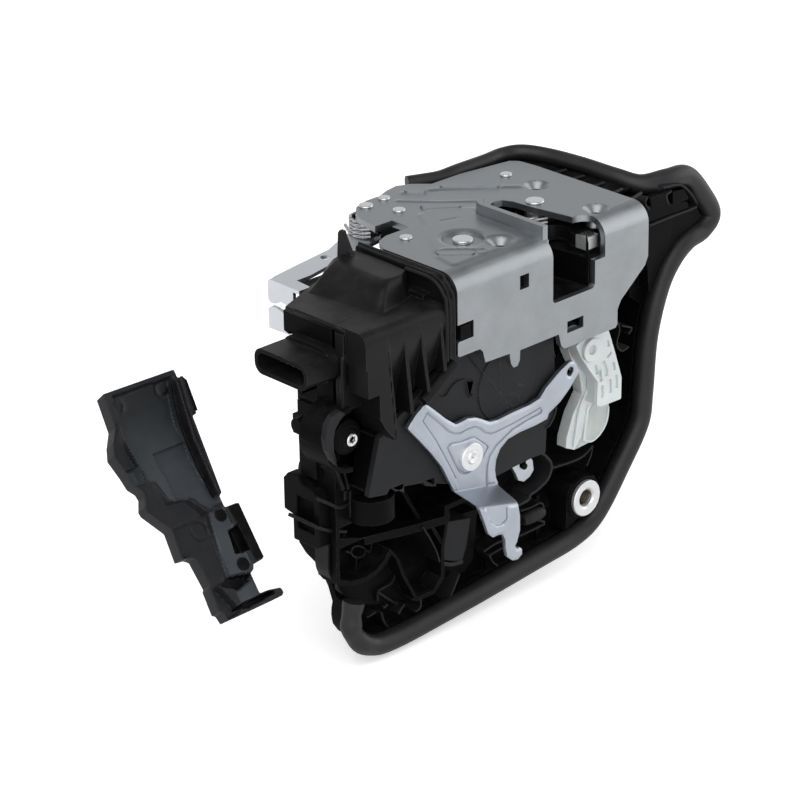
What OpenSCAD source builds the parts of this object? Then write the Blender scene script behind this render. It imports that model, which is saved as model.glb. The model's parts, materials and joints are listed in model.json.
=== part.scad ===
// Vehicle door latch with its lock actuator, shown with the cable cover taken off.
// Origin: axis of the latched striker leg in the face of the latch plate.
// +Z leaves the latch plate, +Y goes into the door, +X to the right of the face.

/* [Latch plate] */
// Sheet thickness of the latch plate
plate_t = 2.5; // [2:0.1:3]
// Distance from the striker axis to the left edge of the plate
plate_left = 60; // [59:0.5:62]
// Distance from the striker axis to the right edge of the plate
plate_right = 41; // [40:0.5:43]
// Distance from the striker axis to the outer face of the front flange
flange_y = 29.5; // [29:0.1:31]
// Outer radius of the bend between face and flange
bend_r = 7.5; // [6:0.5:9]
// Left half width of the striker slot
slot_left = 9.6; // [9:0.1:10.2]
// Right half width of the striker slot at its mouth
slot_right = 11.8; // [11:0.1:12.5]
// Depth of the slot down the flange
slot_depth = 25.3; // [24:0.1:26]
// Height of the lip beside the slot
lip_h = 4.6; // [3:0.2:6]
// Radius of the circle that the three fixing holes lie on
fix_r = 30; // [29.5:0.1:30.5]
// Radius of the tapped fixing holes
fix_hole_r = 2.5; // [2.3:0.05:2.7]
// Length of the tapped collar under the plate
fix_collar = 4; // [2:0.5:5]
// Outer radius of the dimple at a fixing hole
dimple_r = 5.25; // [4.5:0.25:6]
// Shank radius of the plate rivets
rivet_r = 1.6; // [1:0.1:2]
// Height of the stamped beads
bead_h = 0.8; // [0.4:0.1:1.2]

/* [Claw and pawl] */
// Thickness of the claw and the pawl
claw_t = 5; // [4:0.5:5]
// Depth of the top of the claw below the plate face
claw_top = 7.2; // [6.8:0.1:7.4]
// Radius of the striker leg
striker_r = 4.7; // [4:0.1:5]
// Turn of the claw from open to latched
claw_turn = 65; // [60:1:65]
// Lift of the pawl from engaged to released
pawl_lift = 9; // [8:0.5:9.5]
// Radius of the pins that carry claw and pawl
latch_pin_r = 4; // [3.6:0.1:4.2]
// Radial clearance of a lever on its pin
pin_gap = 0.05; // [0.02:0.01:0.1]
// Wire radius of the claw and pawl springs
spring_wire = 0.8; // [0.6:0.1:0.8]

/* [Latch housing] */
// Depth of the housing below the plate face
house_depth = 26.5; // [26.5:0.1:27.5]
// Depth of the cavity for claw and pawl
cavity_depth = 14; // [13.8:0.1:15]
// Thickness of the back plate
back_t = 2; // [1.5:0.1:2]

/* [Carrier and seal] */
// Wall of the carrier
carrier_wall = 2.5; // [2:0.1:3]
// Radius of the seal bulb
seal_r = 4.2; // [3.8:0.1:4.4]
// Plane of the seal's middle on the front of the carrier
seal_y = -9.5; // [-10:0.1:-9]
// Gap between the seal and the rim that carries it
seal_gap = 0.3; // [0.3:0.05:0.5]
// Depth of the carrier floor behind the striker axis
floor_y = 16.5; // [16:0.1:17.5]
// Height of the carrier ribs
rib_h = 4; // [3:0.5:5]
// Flange radius of the threaded insert
insert_flange_r = 7.5; // [7:0.1:8]
// Flange thickness of the threaded insert
insert_flange_t = 1.8; // [1.5:0.1:2.2]
// Body radius of the threaded insert
insert_r = 4.5; // [4:0.1:5]
// Length of the threaded insert's body
insert_len = 10; // [8:0.5:11]

/* [Cases] */
// Wall of the plastic cases
case_wall = 2.2; // [2:0.1:2.5]
// Plane where front and rear case meet
seam_y = -11.5; // [-12:0.1:-11]
// Front face of the front cover
cover_y = -23.5; // [-23.6:0.1:-23]
// Left face of the rear case
case_left = 105; // [104:0.5:106]
// Thickness of a gusset rib
gusset_t = 2; // [1.6:0.1:2.4]
// Number of gusset ribs
gusset_count = 5; // [4:1:6]
// Length of the connector beyond the case
plug_len = 16.5; // [15:0.5:20]
// Width of the connector
plug_w = 28; // [26:0.5:28]
// Height of the connector
plug_h = 10; // [9.5:0.5:10.5]
// Wall of the connector
plug_wall = 1.6; // [1.2:0.1:2]

/* [Levers] */
// Sheet thickness of the release lever
lever_t = 2.2; // [1.8:0.1:2.2]
// Offset of the release lever's lower arm towards the viewer
lever_joggle = 12.5; // [12:0.1:13]
// Radius of the release lever's pin
release_pin_r = 3.5; // [3:0.1:4]
// Front face of the release lever
lever_y = -26.5; // [-26.6:0.1:-26.4]
// Thickness of the lock lever
lock_t = 6; // [5:0.1:6]
// Front face of the lock lever
lock_y = -21.5; // [-22:0.1:-21.5]
// Radius of the lock lever's pin
lock_pin_r = 3; // [2.5:0.1:3]

/* [Drive] */
// Teeth of the worm wheel
wheel_teeth = 28; // [24:1:30]
// Pitch radius of the worm wheel
wheel_r = 14; // [13.5:0.1:14]
// Width of the worm wheel
wheel_w = 6; // [5:0.5:6.5]
// Pitch radius of the worm
worm_r = 3.5; // [3:0.1:3.5]
// Radius of the motor can
motor_r = 10; // [9:0.5:10]
// Length of the motor can
motor_len = 28; // [24:1:29]

/* [Loose cover] */
// Depth of the loose cover
loose_h = 8; // [7:0.5:10]
// Wall of the loose cover
loose_wall = 1.6; // [1.4:0.1:2]

/* [Hidden] */
$fn = 48;
eps = 0.01;

// Places worked out from the driving sizes
fix_angles = [30, -38, 213];
claw_pivot = [12.7, 2.8];
pawl_pivot = [-32.8, -4.7];
catch_r = 19.7;
catch_a = 124.7;
catch_pt = claw_pivot + catch_r * [cos(catch_a), sin(catch_a)];
pawl_vec = catch_pt - pawl_pivot;
pawl_len = norm(pawl_vec);
pawl_a = atan2(pawl_vec[1], pawl_vec[0]);
back_z = -house_depth - back_t;
flange_in = -flange_y + plate_t;
bend_y = -flange_y + bend_r;
outside_pivot = [-35.1, 45];
rivet_places = [[25.3, 30.6], [-47.1, 10.6], [-29.6, 32.7]];
release_pivot = [-51.3, -74.8];
lock_pivot = [19, -55];
key_pivot = [-15.5, -93.5];
pocket_place = [-13.5, -97];
pocket_r = 12.5;
wheel_place = [-27, -52];
wheel_y = -6;
worm_z = wheel_place[1] - wheel_r - worm_r;
motor_x = wheel_place[0] - 20;
insert_place = [26.5, -124];
insert_y = -11;
case_top = back_z - 1.5;
screw_place = [-104, -52.7];
claw_bottom = claw_top + claw_t;
loose_place = [-186, 36.5, -35];
loose_tilt = 51;

// Helpers that set a flat outline in a plane
module slab_xz(y0, y1) {
    translate([0, y1, 0]) rotate([90, 0, 0]) linear_extrude(y1 - y0) children();
}
module slab_xy(z0, z1) {
    translate([0, 0, z0]) linear_extrude(z1 - z0) children();
}
module slab_yz(x0, x1) {
    translate([x0, 0, 0]) rotate([90, 0, 90]) linear_extrude(x1 - x0) children();
}
// Round bar along Y with its middle at x, z
module bar_y(at, y0, y1, r) {
    translate([at[0], y1, at[1]]) rotate([90, 0, 0]) cylinder(h = y1 - y0, r = r);
}
// Round bar along Z
module bar_z(at, z0, z1, r) {
    translate([at[0], at[1], z0]) cylinder(h = z1 - z0, r = r);
}
// Slot outline with round ends from a to b
module stadium(a, b, r) {
    d = b - a;
    translate(a) circle(r);
    translate(b) circle(r);
    translate(a) rotate(atan2(d[1], d[0])) translate([0, -r]) square([norm(d), 2 * r]);
}
// Rectangle with rounded corners, centred
module soft_rect(w, h, r) {
    offset(r, $fn = 24) square([w - 2 * r, h - 2 * r], center = true);
}

// Smooth curve through control points
function spline_at(a, b, c, d, t) =
    0.5 * (2 * b + (c - a) * t + (2 * a - 5 * b + 4 * c - d) * t * t
    + (3 * b - a - 3 * c + d) * t * t * t);
function spline(p, steps) = concat(
    [for (i = [0 : len(p) - 2], k = [0 : steps - 1])
        spline_at(p[max(i - 1, 0)], p[i], p[i + 1], p[min(i + 2, len(p) - 1)], k / steps)],
    [p[len(p) - 1]]);
function unit(v) = v / norm(v);

// Tube swept along a path, its rings square to the path
module tube(path, r, sides) {
    n = len(path);
    tang = [for (i = [0 : n - 1]) unit(path[min(i + 1, n - 1)] - path[max(i - 1, 0)])];
    rings = [for (i = [0 : n - 1]) let (
        t = tang[i],
        ref = abs(t[1]) > 0.9 ? [0, 0, 1] : [0, 1, 0],
        u = unit(cross(t, ref)),
        v = cross(t, u))
        each [for (k = [0 : sides - 1])
            path[i] + r * (cos(360 * k / sides) * u + sin(360 * k / sides) * v)]];
    body = [for (i = [0 : n - 2], k = [0 : sides - 1]) let (
        a = i * sides + k, b = i * sides + (k + 1) % sides)
        [a, a + sides, b + sides, b]];
    start = [[for (k = [0 : sides - 1]) k]];
    stop = [[for (k = [sides - 1 : -1 : 0]) (n - 1) * sides + k]];
    polyhedron(rings, concat(body, start, stop));
}
// Helical wire about Z with straight legs
module coil(r, wire, turns, pitch, leg, a0) {
    n = 12;
    path = concat(
        [[r * cos(a0) + leg * sin(a0), r * sin(a0) - leg * cos(a0), wire]],
        [for (i = [0 : n * turns]) let (a = a0 + 360 * i / n)
            [r * cos(a), r * sin(a), wire + pitch * i / n]]);
    tube(path, wire, 8);
}

// Outline of the latch face
face_outline = [
    [-plate_left, -flange_y + bend_r], [-plate_left, 9.3], [-55.7, 15.9], [-50.5, 17.8],
    [-38.3, 17.8], [-38.3, 27.5], [-46.8, 27.5], [-45, 38], [-42.3, 43], [-38, 47.2],
    [-30.7, 49.4], [-23.8, 49.4], [-18.5, 51.5], [-12.2, 52.7], [-6.4, 50], [-1.1, 44.5],
    [14, 44.5], [plate_right - 3.5, 41], [plate_right - 0.8, 38], [plate_right, 30],
    [plate_right, -flange_y + bend_r]
];
// Outline of the front flange, from its bend down
flange_outline = [
    [-plate_left, -bend_r], [-plate_left, -19], [-52, -19], [-52, -25.6],
    [-plate_left + 0.8, -25.6], [-plate_left, -26.4], [-plate_left, -30.8],
    [-plate_left + 0.8, -31.6], [-48.8, -31.6], [-47.3, -33], [-46, -37.8], [-33.5, -38.2],
    [-32.8, -42.5], [-31.5, -44.4], [-29.5, -44.4], [-28.2, -42.5], [-28, -38.5],
    [-7.5, -38.5], [-6.2, -43.5], [-4.5, -45.2], [23.4, -45.2], [24.4, -44], [24.4, -38],
    [26.2, -34.7], [plate_right - 1.6, -24.3], [plate_right, -21], [plate_right, -bend_r]
];
// Striker slot in the latch face
slot_outline = [
    [-slot_left, -flange_y - 1], [-slot_left, 6], [-8.4, 9.4], [-5.6, 11.6], [2, 14],
    [5.4, 13], [7.2, 9], [8, 0], [slot_right - 0.8, -17.5], [slot_right, -flange_y - 1]
];

module latch_plate() {
    color([0.68, 0.69, 0.70]) difference() {
        union() {
            slab_xy(-plate_t, 0) polygon(face_outline);
            slab_yz(-plate_left, plate_right) intersection() {
                translate([-flange_y + bend_r, -bend_r]) difference() {
                    circle(bend_r);
                    circle(bend_r - plate_t);
                }
                translate([-flange_y, -bend_r]) square(bend_r);
            }
            slab_xz(-flange_y, flange_in) polygon(flange_outline);
            slot_lip();
            for (b = face_beads) slab_xy(-eps, bead_h) stadium(b[0], b[1], b[2]);
            for (a = fix_angles) bar_z(fix_r * [cos(a), sin(a)],
                -plate_t - fix_collar, -eps, fix_hole_r + 1.4);
        }
        slab_xy(-bend_r - eps, 1) polygon(slot_outline);
        slab_xz(-flange_y - 1, flange_in + 1) polygon([
            [-slot_left - 1.1, -slot_depth + 1], [-slot_left, -slot_depth],
            [slot_right - 1, -slot_depth], [slot_right, -slot_depth + 1.2],
            [slot_right, 0], [-slot_left - 1.1, 0]]);
        bar_z([slot_right - 0.2, -24], -14.5, 1, 5.6);
        translate([slot_right - 1, -flange_y - 1, -14.5]) cube([6.4, 7, 15.5]);
        translate([-28.1, -flange_y - 1, -14.6]) cube([4.7, plate_t + 2, 5.5]);
        translate([-3, -flange_y - 1, -39.4]) cube([8.7, plate_t + 2, 4.6]);
        for (a = fix_angles) {
            bar_z(fix_r * [cos(a), sin(a)], -plate_t - fix_collar - 1, 1, fix_hole_r);
            translate([fix_r * cos(a), fix_r * sin(a), -plate_t])
                cylinder(h = plate_t + eps, r1 = fix_hole_r, r2 = dimple_r);
        }
        for (p = rivet_places) bar_z(p, -plate_t - 1, 1, rivet_r);
        bar_z([-24.9, 45.9], -plate_t - 1, 1, rivet_r);
        bar_z(claw_pivot, -plate_t - 1, 1, latch_pin_r / 2);
        bar_z(pawl_pivot, -plate_t - 1, 1, latch_pin_r / 2);
        bar_z(pawl_pivot, -1, 1, 8);
        bar_z(outside_pivot, -plate_t - 1, 1, 2);
    }
}
// Beads of the face: start, end and half width
face_beads = [
    [[-13, 45], [-9, 41], 1.6], [[0, 39], [14, 25], 1.6], [[-20, 29], [-11, 20], 1.6],
    [[-49, -9.5], [-41.2, -17.3], 1.5]
];
// Upright lip that guides the striker
module slot_lip() {
    slab_xy(-plate_t, lip_h) polygon([
        [-slot_left - plate_t, -25.5], [-slot_left - plate_t, 7.2], [-slot_left - 1, 10.8],
        [-7.2, 13.2], [-5.6, 11.6], [-8.4, 9.4], [-slot_left, 6], [-slot_left, -25.5]]);
}

module plate_rivets() {
    color([0.80, 0.81, 0.82]) {
        for (p = rivet_places) {
            bar_z(p, 0, 0.9, 2.4);
            bar_z(p, -12, 0, rivet_r);
        }
        bar_z([-24.9, 45.9], 0, 0.9, 2.4);
        bar_z([-24.9, 45.9], -plate_t, 0, rivet_r);
        bar_z([-24.9, 45.9], -plate_t - 1, -plate_t, 2.4);
    }
}

module back_plate() {
    color([0.62, 0.63, 0.64]) difference() {
        slab_xy(back_z, -house_depth)
            polygon([[-44, -22], [30, -22], [34, -10], [30, 24], [-10, 30], [-42, 10]]);
        bar_z(claw_pivot, back_z - 1, 0, latch_pin_r / 2);
        bar_z(pawl_pivot, back_z - 1, 0, latch_pin_r / 2);
    }
}

// Space that claw and pawl sweep
sweep_outline = [
    [-46, -17], [-36, -22], [-13.5, -22], [-13.5, -25.7], [22, -25.7], [24.5, -16],
    [28, -8], [28, 12], [16, 27], [2, 31], [-12, 31], [-30, 16], [-46, 6]
];
module latch_housing() {
    color([0.10, 0.10, 0.11]) difference() {
        union() {
            slab_xy(-house_depth, -plate_t) polygon([
                [-58.8, bend_y], [38.5, bend_y], [38.5, 38], [36, 40.3],
                [14, 43.3], [-3, 43.3], [-10, 40], [-24, 38], [-26, 35.5], [-33, 36.5],
                [-37, 35], [-37, 17], [-54, 15.5], [-58.8, 9]]);
            slab_xy(-house_depth, -bend_r) translate([-58.8, flange_in])
                square([97.3, bend_y - flange_in + eps]);
            slab_yz(-58.8, 38.5) translate([bend_y, -bend_r])
                circle(bend_r - plate_t - 0.3);
            translate([-58.5, -flange_y, -25]) cube([5, plate_t + 1, 5]);
        }
        slab_xy(-cavity_depth, 0) polygon(sweep_outline);
        slab_xy(-slot_depth, 0) polygon([
            [-slot_left + 0.8, -flange_y - 2], [-slot_left + 0.8, 6], [-7.2, 9], [-5, 11],
            [2, 13], [4.8, 12], [6.4, 9], [7.2, 0], [slot_right - 1.6, -17.5],
            [slot_right - 0.8, -flange_y - 2]]);
        translate([slot_right - 1, -flange_y - 1, -14.5]) cube([6.2, 8, 15]);
        bar_z(claw_pivot, -house_depth - 1, 0, latch_pin_r + pin_gap);
        bar_z(pawl_pivot, -house_depth - 1, 0, latch_pin_r + pin_gap);
        for (a = fix_angles) bar_z(fix_r * [cos(a), sin(a)], -house_depth + 3, 0,
            fix_hole_r + 1.6);
        for (p = rivet_places) bar_z(p, -12.2, 0, rivet_r + 0.1);
    }
}

// Rubber stop behind the latched striker, below the claw
module throat_buffer() {
    color([0.06, 0.06, 0.06]) slab_xy(-slot_depth, -cavity_depth - 0.4)
        polygon([[-8.4, 6.4], [-7, 8.8], [-4.8, 10.8], [2, 12.8], [4.6, 11.8], [6, 9],
            [6.6, 4], [4.5, 6.2], [0, 7.2], [-5, 6.2]]);
}

// Stepped rivet: head, neck in the plate, shaft, foot under the back plate
module stepped_pin(at, head_r, head_z, head_t) {
    neck = latch_pin_r / 2;
    bar_z(at, head_z, head_z + head_t, head_r);
    bar_z(at, -plate_t, head_z, neck);
    bar_z(at, -house_depth, -plate_t, latch_pin_r);
    bar_z(at, back_z, -house_depth, neck);
    bar_z(at, back_z - 1, back_z, neck + 1.5);
}
module claw_pin() {
    color([0.80, 0.81, 0.82]) stepped_pin(claw_pivot, 3.6, 0, 0.9);
}
module pawl_pin() {
    color([0.80, 0.81, 0.82]) stepped_pin(pawl_pivot, 3.9, -1, 1.3);
}

// Claw outline about its pin, drawn latched: hub, striker arm and kick arm with the catch
module claw_outline() {
    difference() {
        union() {
            circle(11.5);
            polygon([[-6, -6], [-17, -8.2], [-21, -10], [-23.6, -13], [-22.2, -16],
                [-17, -17.2], [-8, -16.4], [0, -11]]);
            polygon([[4, 8], [-3, 19.5], [-8, 21.5],
                22 * [cos(catch_a), sin(catch_a)], 15.8 * [cos(catch_a), sin(catch_a)],
                [-13.4, 7.2], [-15, 5], [-12.5, 3.6], [0, 2.7]]);
        }
        translate([-12.7, -2.8]) circle(striker_r + 0.8);
        translate([-40, -2.8 - striker_r - 0.7]) square([27.3, 2 * striker_r + 1.4]);
    }
}
module at_claw() {
    translate([claw_pivot[0], claw_pivot[1], 0]) rotate([0, 0, claw_turn]) children();
}
module claw() {
    color([0.75, 0.76, 0.78]) at_claw() slab_xy(-claw_bottom, -claw_top) difference() {
        claw_outline();
        circle(latch_pin_r + pin_gap);
    }
}
// Plastic skin under the claw that quietens it
module claw_overmould() {
    color([0.13, 0.13, 0.14]) at_claw() slab_xy(-claw_bottom - 1, -claw_bottom)
        difference() {
            claw_outline();
            circle(latch_pin_r + 1.5);
        }
}
module claw_spring() {
    color([0.55, 0.56, 0.58]) translate([claw_pivot[0], claw_pivot[1], -claw_top + 0.3])
        coil(7.5, spring_wire, 1.5, 1.65, 6, 200);
}

module at_pawl() {
    translate([pawl_pivot[0], pawl_pivot[1], 0]) rotate([0, 0, pawl_a + pawl_lift])
        children();
}
module pawl() {
    color([0.60, 0.61, 0.63]) at_pawl() slab_xy(-claw_bottom, -claw_top) difference() {
        union() {
            circle(9);
            polygon([[0, -6], [pawl_len - 12, -3], [pawl_len - 0.3, -3],
                [pawl_len - 0.3, 3], [pawl_len - 12, 3], [0, 8.5]]);
            polygon([[-4, -8], [-10, -4], [-11.5, 0], [-9, 4], [-2, 8]]);
        }
        circle(latch_pin_r + pin_gap);
    }
}
module pawl_spring() {
    color([0.55, 0.56, 0.58]) translate([pawl_pivot[0], pawl_pivot[1], -claw_top + 0.3])
        coil(7.2, spring_wire, 1.5, 1.65, 5, 80);
}

// Lever for the outer handle: flat arm with a notched tongue turned down
module outside_lever() {
    p = outside_pivot;
    color([0.72, 0.74, 0.77]) difference() {
        union() {
            slab_xy(-12.5, -11) polygon([[p[0] + 4, p[1] - 7], [p[0] + 8, p[1]],
                [p[0] + 5, p[1] + 6], [-39, 50.6], [-50, 46.2], [-56, 43.4], [-74, 40.6],
                [-88, 38.2], [-91, 36.8], [-91, 21], [-85.4, 21], [-84.8, 29.2], [-78, 29.4],
                [-58, 33.5]]);
            slab_yz(-91, -89.5) polygon([[24.4, -11], [37.4, -11], [38.4, -12],
                [38.4, -19.2], [36.6, -20.3], [34, -19.8], [31.4, -18.4], [27.6, -18.8],
                [27.4, -21.4], [29, -22.8], [31, -22], [33.6, -21.4], [36.6, -21.4],
                [38.4, -22.8], [38.4, -30.6], [24.4, -30.2]]);
        }
        bar_z(p, -14, -9, 3 + pin_gap);
        bar_z([-62, 38.5], -14, -9, 2);
    }
}
module outside_lever_pin() {
    color([0.80, 0.81, 0.82]) {
        bar_z(outside_pivot, 0, 0.9, 2.8);
        bar_z(outside_pivot, -plate_t, 0, 2);
        bar_z(outside_pivot, -12.8, -plate_t, 3);
        bar_z(outside_pivot, -14, -12.8, 5);
    }
}
module outside_lever_spring() {
    color([0.72, 0.73, 0.75]) translate([outside_pivot[0], outside_pivot[1], -10.9])
        coil(6.2, 0.7, 4.5, 1.5, 9, 150);
}

// Middle line of the seal: along the back and right of the face, then round the tray
top_run = [
    [-3.5, 55.8, -3.4], [2.5, 52.8, -3.2], [9, 50.2, -3], [18, 49.4, -2.4], [32, 49, -2.2],
    [44, 48.6, -1.8], [50.5, 45.6, -1], [54.2, 36, -1.6], [56.8, 20, -2.2], [59, 2, -2.8]
];
front_run = [
    [73, -4], [83, -6.5], [93, -15.5], [99.2, -25], [94, -30.5], [85, -32.7],
    [76.8, -38.2], [69.6, -48.2], [63.6, -67], [61.4, -90], [59.2, -103], [48.5, -118],
    [35, -134], [22.5, -140], [0, -142.5], [-40, -146], [-76, -148.2], [-89.5, -145.5],
    [-96.3, -138], [-96.8, -131.5]
];
seal_z = -3.5;
seal_path = concat(top_run, [[63.5, seal_y + 3.5, seal_z]],
    [for (p = front_run) [p[0], seal_y, p[1]]], [[-95.4, seal_y, -125]]);
module perimeter_seal() {
    color([0.12, 0.12, 0.13]) tube(spline(seal_path, 3), seal_r, 12);
}

// Outline of the tray's wall seen from the front
tray_outline = concat([[60, -8.3], [73, -8.3]],
    spline([for (i = [1 : len(front_run) - 1]) front_run[i] + [0, i < 2 ? -2.2 : 0]], 2));
// Depth profile of the tray seen from the side
rim_y = seal_y + seal_r + seal_gap;
slope_z = [-104, -128];
module depth_profile(grow) {
    polygon([[rim_y - 2, -1], [floor_y + grow, -1], [floor_y + grow, slope_z[0] - grow / 3],
        [grow - 1, slope_z[1] - grow / 3], [grow - 1, -160], [rim_y - 2, -160]]);
}
// Region of the ear, and the planes of the flap and the ledge inside it
ear_outline = concat([[54, -17]], [for (i = [0 : 7]) front_run[i]], [[66, -56], [58, -50]]);
flap_y = -10.5;
ledge_y = -14;
module tray_region() {
    polygon(concat(tray_outline, [[-95, -124], [-95, -44], [-62, -44], [-62, case_top],
        [41.5, case_top], [41.5, -8.3]]));
}
module base_carrier() {
    wall_top = seal_z - seal_r - seal_gap;
    color([0.11, 0.11, 0.12]) difference() {
        union() {
            difference() {
                intersection() {
                    slab_xz(rim_y, floor_y + carrier_wall) tray_region();
                    slab_yz(-110, 110) depth_profile(carrier_wall);
                }
                intersection() {
                    slab_xz(rim_y - 1, floor_y) union() {
                        offset(-carrier_wall) tray_region();
                        translate([-110, -127]) square([50, 100]);
                        translate([-90, case_top - 20]) square([134, 21]);
                    }
                    slab_yz(-110, 110) depth_profile(0);
                }
            }
            // frame around the latch housing, under the seal, with a floor under its ribs
            difference() {
                slab_xy(wall_top - 14, wall_top) polygon([[38.8, 41.5], [14, 44], [-3, 44],
                    [-7, 52], [-4.5, 58.5], [2, 57], [9, 54.6], [18, 53], [44, 52],
                    [52.5, 47], [57, 36], [59.5, 20], [61.5, 2], [62, rim_y],
                    [41.8, rim_y], [38.8, -3]]);
                slab_xy(wall_top - 12, wall_top + 1) polygon([[41.5, 42.5], [46, 42.4],
                    [48.6, 40], [51, 28], [53, 14], [54, 4], [41.5, 4]]);
            }
            // ribs between the plate and the seal
            for (i = [0 : 5]) translate([41.3, 5 + 6.5 * i, wall_top - 12.5])
                cube([11.8 - 0.9 * i, 1.4, 12.5 + rib_h]);
            // ear: floor behind the seal, raised flap inside it, ledge with pockets
            slab_xz(rim_y, rim_y + carrier_wall) polygon(ear_outline);
            slab_xz(flap_y, rim_y + eps) offset(-5.2) polygon(ear_outline);
            difference() {
                slab_xz(ledge_y, 0) polygon([[41.8, -8.6], [56, -9.6], [80, -14],
                    [81, -16.6], [56, -16.2], [41.8, -15.6]]);
                for (x = [47, 64]) translate([x, ledge_y + 1.3, -14.6 - (x - 47) / 8])
                    cube([14, -ledge_y + rim_y - 2, 10]);
            }
            bar_y(insert_place, insert_y, 2, insert_r + 4.1);
            slab_xz(insert_y + 1, 2) polygon([[17.8, -121], [17.4, -135.5], [28.5, -131],
                [36, -122], [33, -117], [20, -117]]);
            // block beside the case's open foot
            intersection() {
                slab_xz(-4, floor_y) polygon([[-46, -111.5], [-25.5, -113.5], [-28, -134],
                    [-33, -137.5], [-46, -136.5]]);
                slab_yz(-110, 110) depth_profile(carrier_wall);
            }
            intersection() {
                for (x = [-20, 8, 36]) translate([x, rim_y + 2, -150]) cube([1.8, 14, 30]);
                slab_yz(-110, 110) depth_profile(carrier_wall);
            }
            bar_y(lock_pivot, lock_y + 2 * lock_t + 1.4, floor_y + eps, 7);
        }
        bar_y(insert_place, insert_y - 1, insert_y + insert_len + 0.2, insert_r + 0.05);
        bar_y(lock_pivot, lock_y - 1, floor_y - 2, lock_pin_r + 0.05);
        // the lobe behind the seal's ear is shallow
        translate([66, rim_y + carrier_wall, -60]) cube([50, 40, 60 - 8.4]);
        tray_outside();
    }
}
// What lies beyond the wall of the tray
module tray_outside() {
    difference() {
        translate([-130, rim_y - 1, -170]) cube([260, 30, 120]);
        slab_xz(rim_y - 1, 30) tray_region();
    }
}
module threaded_insert() {
    color([0.82, 0.83, 0.84]) difference() {
        union() {
            bar_y(insert_place, insert_y - insert_flange_t, insert_y, insert_flange_r);
            bar_y(insert_place, insert_y, insert_y + insert_len, insert_r);
        }
        bar_y(insert_place, insert_y - 5, insert_y + insert_len + 1, fix_hole_r);
    }
}

// Rear case: depth and right side of its deep upper left end, depth at its left face
deep_y = 28.5;
deep_right = -62.3;
side_y = 14;
// Rim of the open lower left part, from its left wall to its right wall
foot_rim = [
    [-105.6, -113.8], [-99.2, -116.4], [-90.6, -117.8], [-84.6, -116.4], [-80.2, -113.8],
    [-77.8, -111], [-75.4, -114], [-72.6, -122], [-68.6, -129.4], [-65.6, -135.6],
    [-56, -135.8], [-50.6, -131], [-50.4, -118], [-48.6, -110]
];
// Outline seen from the front, and depth seen from the side
rear_outline = concat([[-case_left, -12], [-case_left, -101]], [for (p = foot_rim) p], [
    [-47.3, -106], [-48, -103], [-20, -103], [-3, -96], [-1, -60], [-4, -40],
    [-12, case_top], [-63, case_top], [-63, -12]]);
// Shelf below that rim, and its front
foot_shelf = [
    [-103, -112], [-96.8, -123.6], [-92.6, -126.6], [-91.2, -129.4], [-79, -134], [-64, -137.4],
    [-64, -112]
];
shelf_y = -5;
module rear_depth() {
    polygon([[seam_y, -11], [deep_y, -11], [deep_y, -36], [floor_y, -41],
        [floor_y, slope_z[0]], [-1.2, slope_z[1]], [-1.2, -140], [seam_y, -140]]);
}
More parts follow.
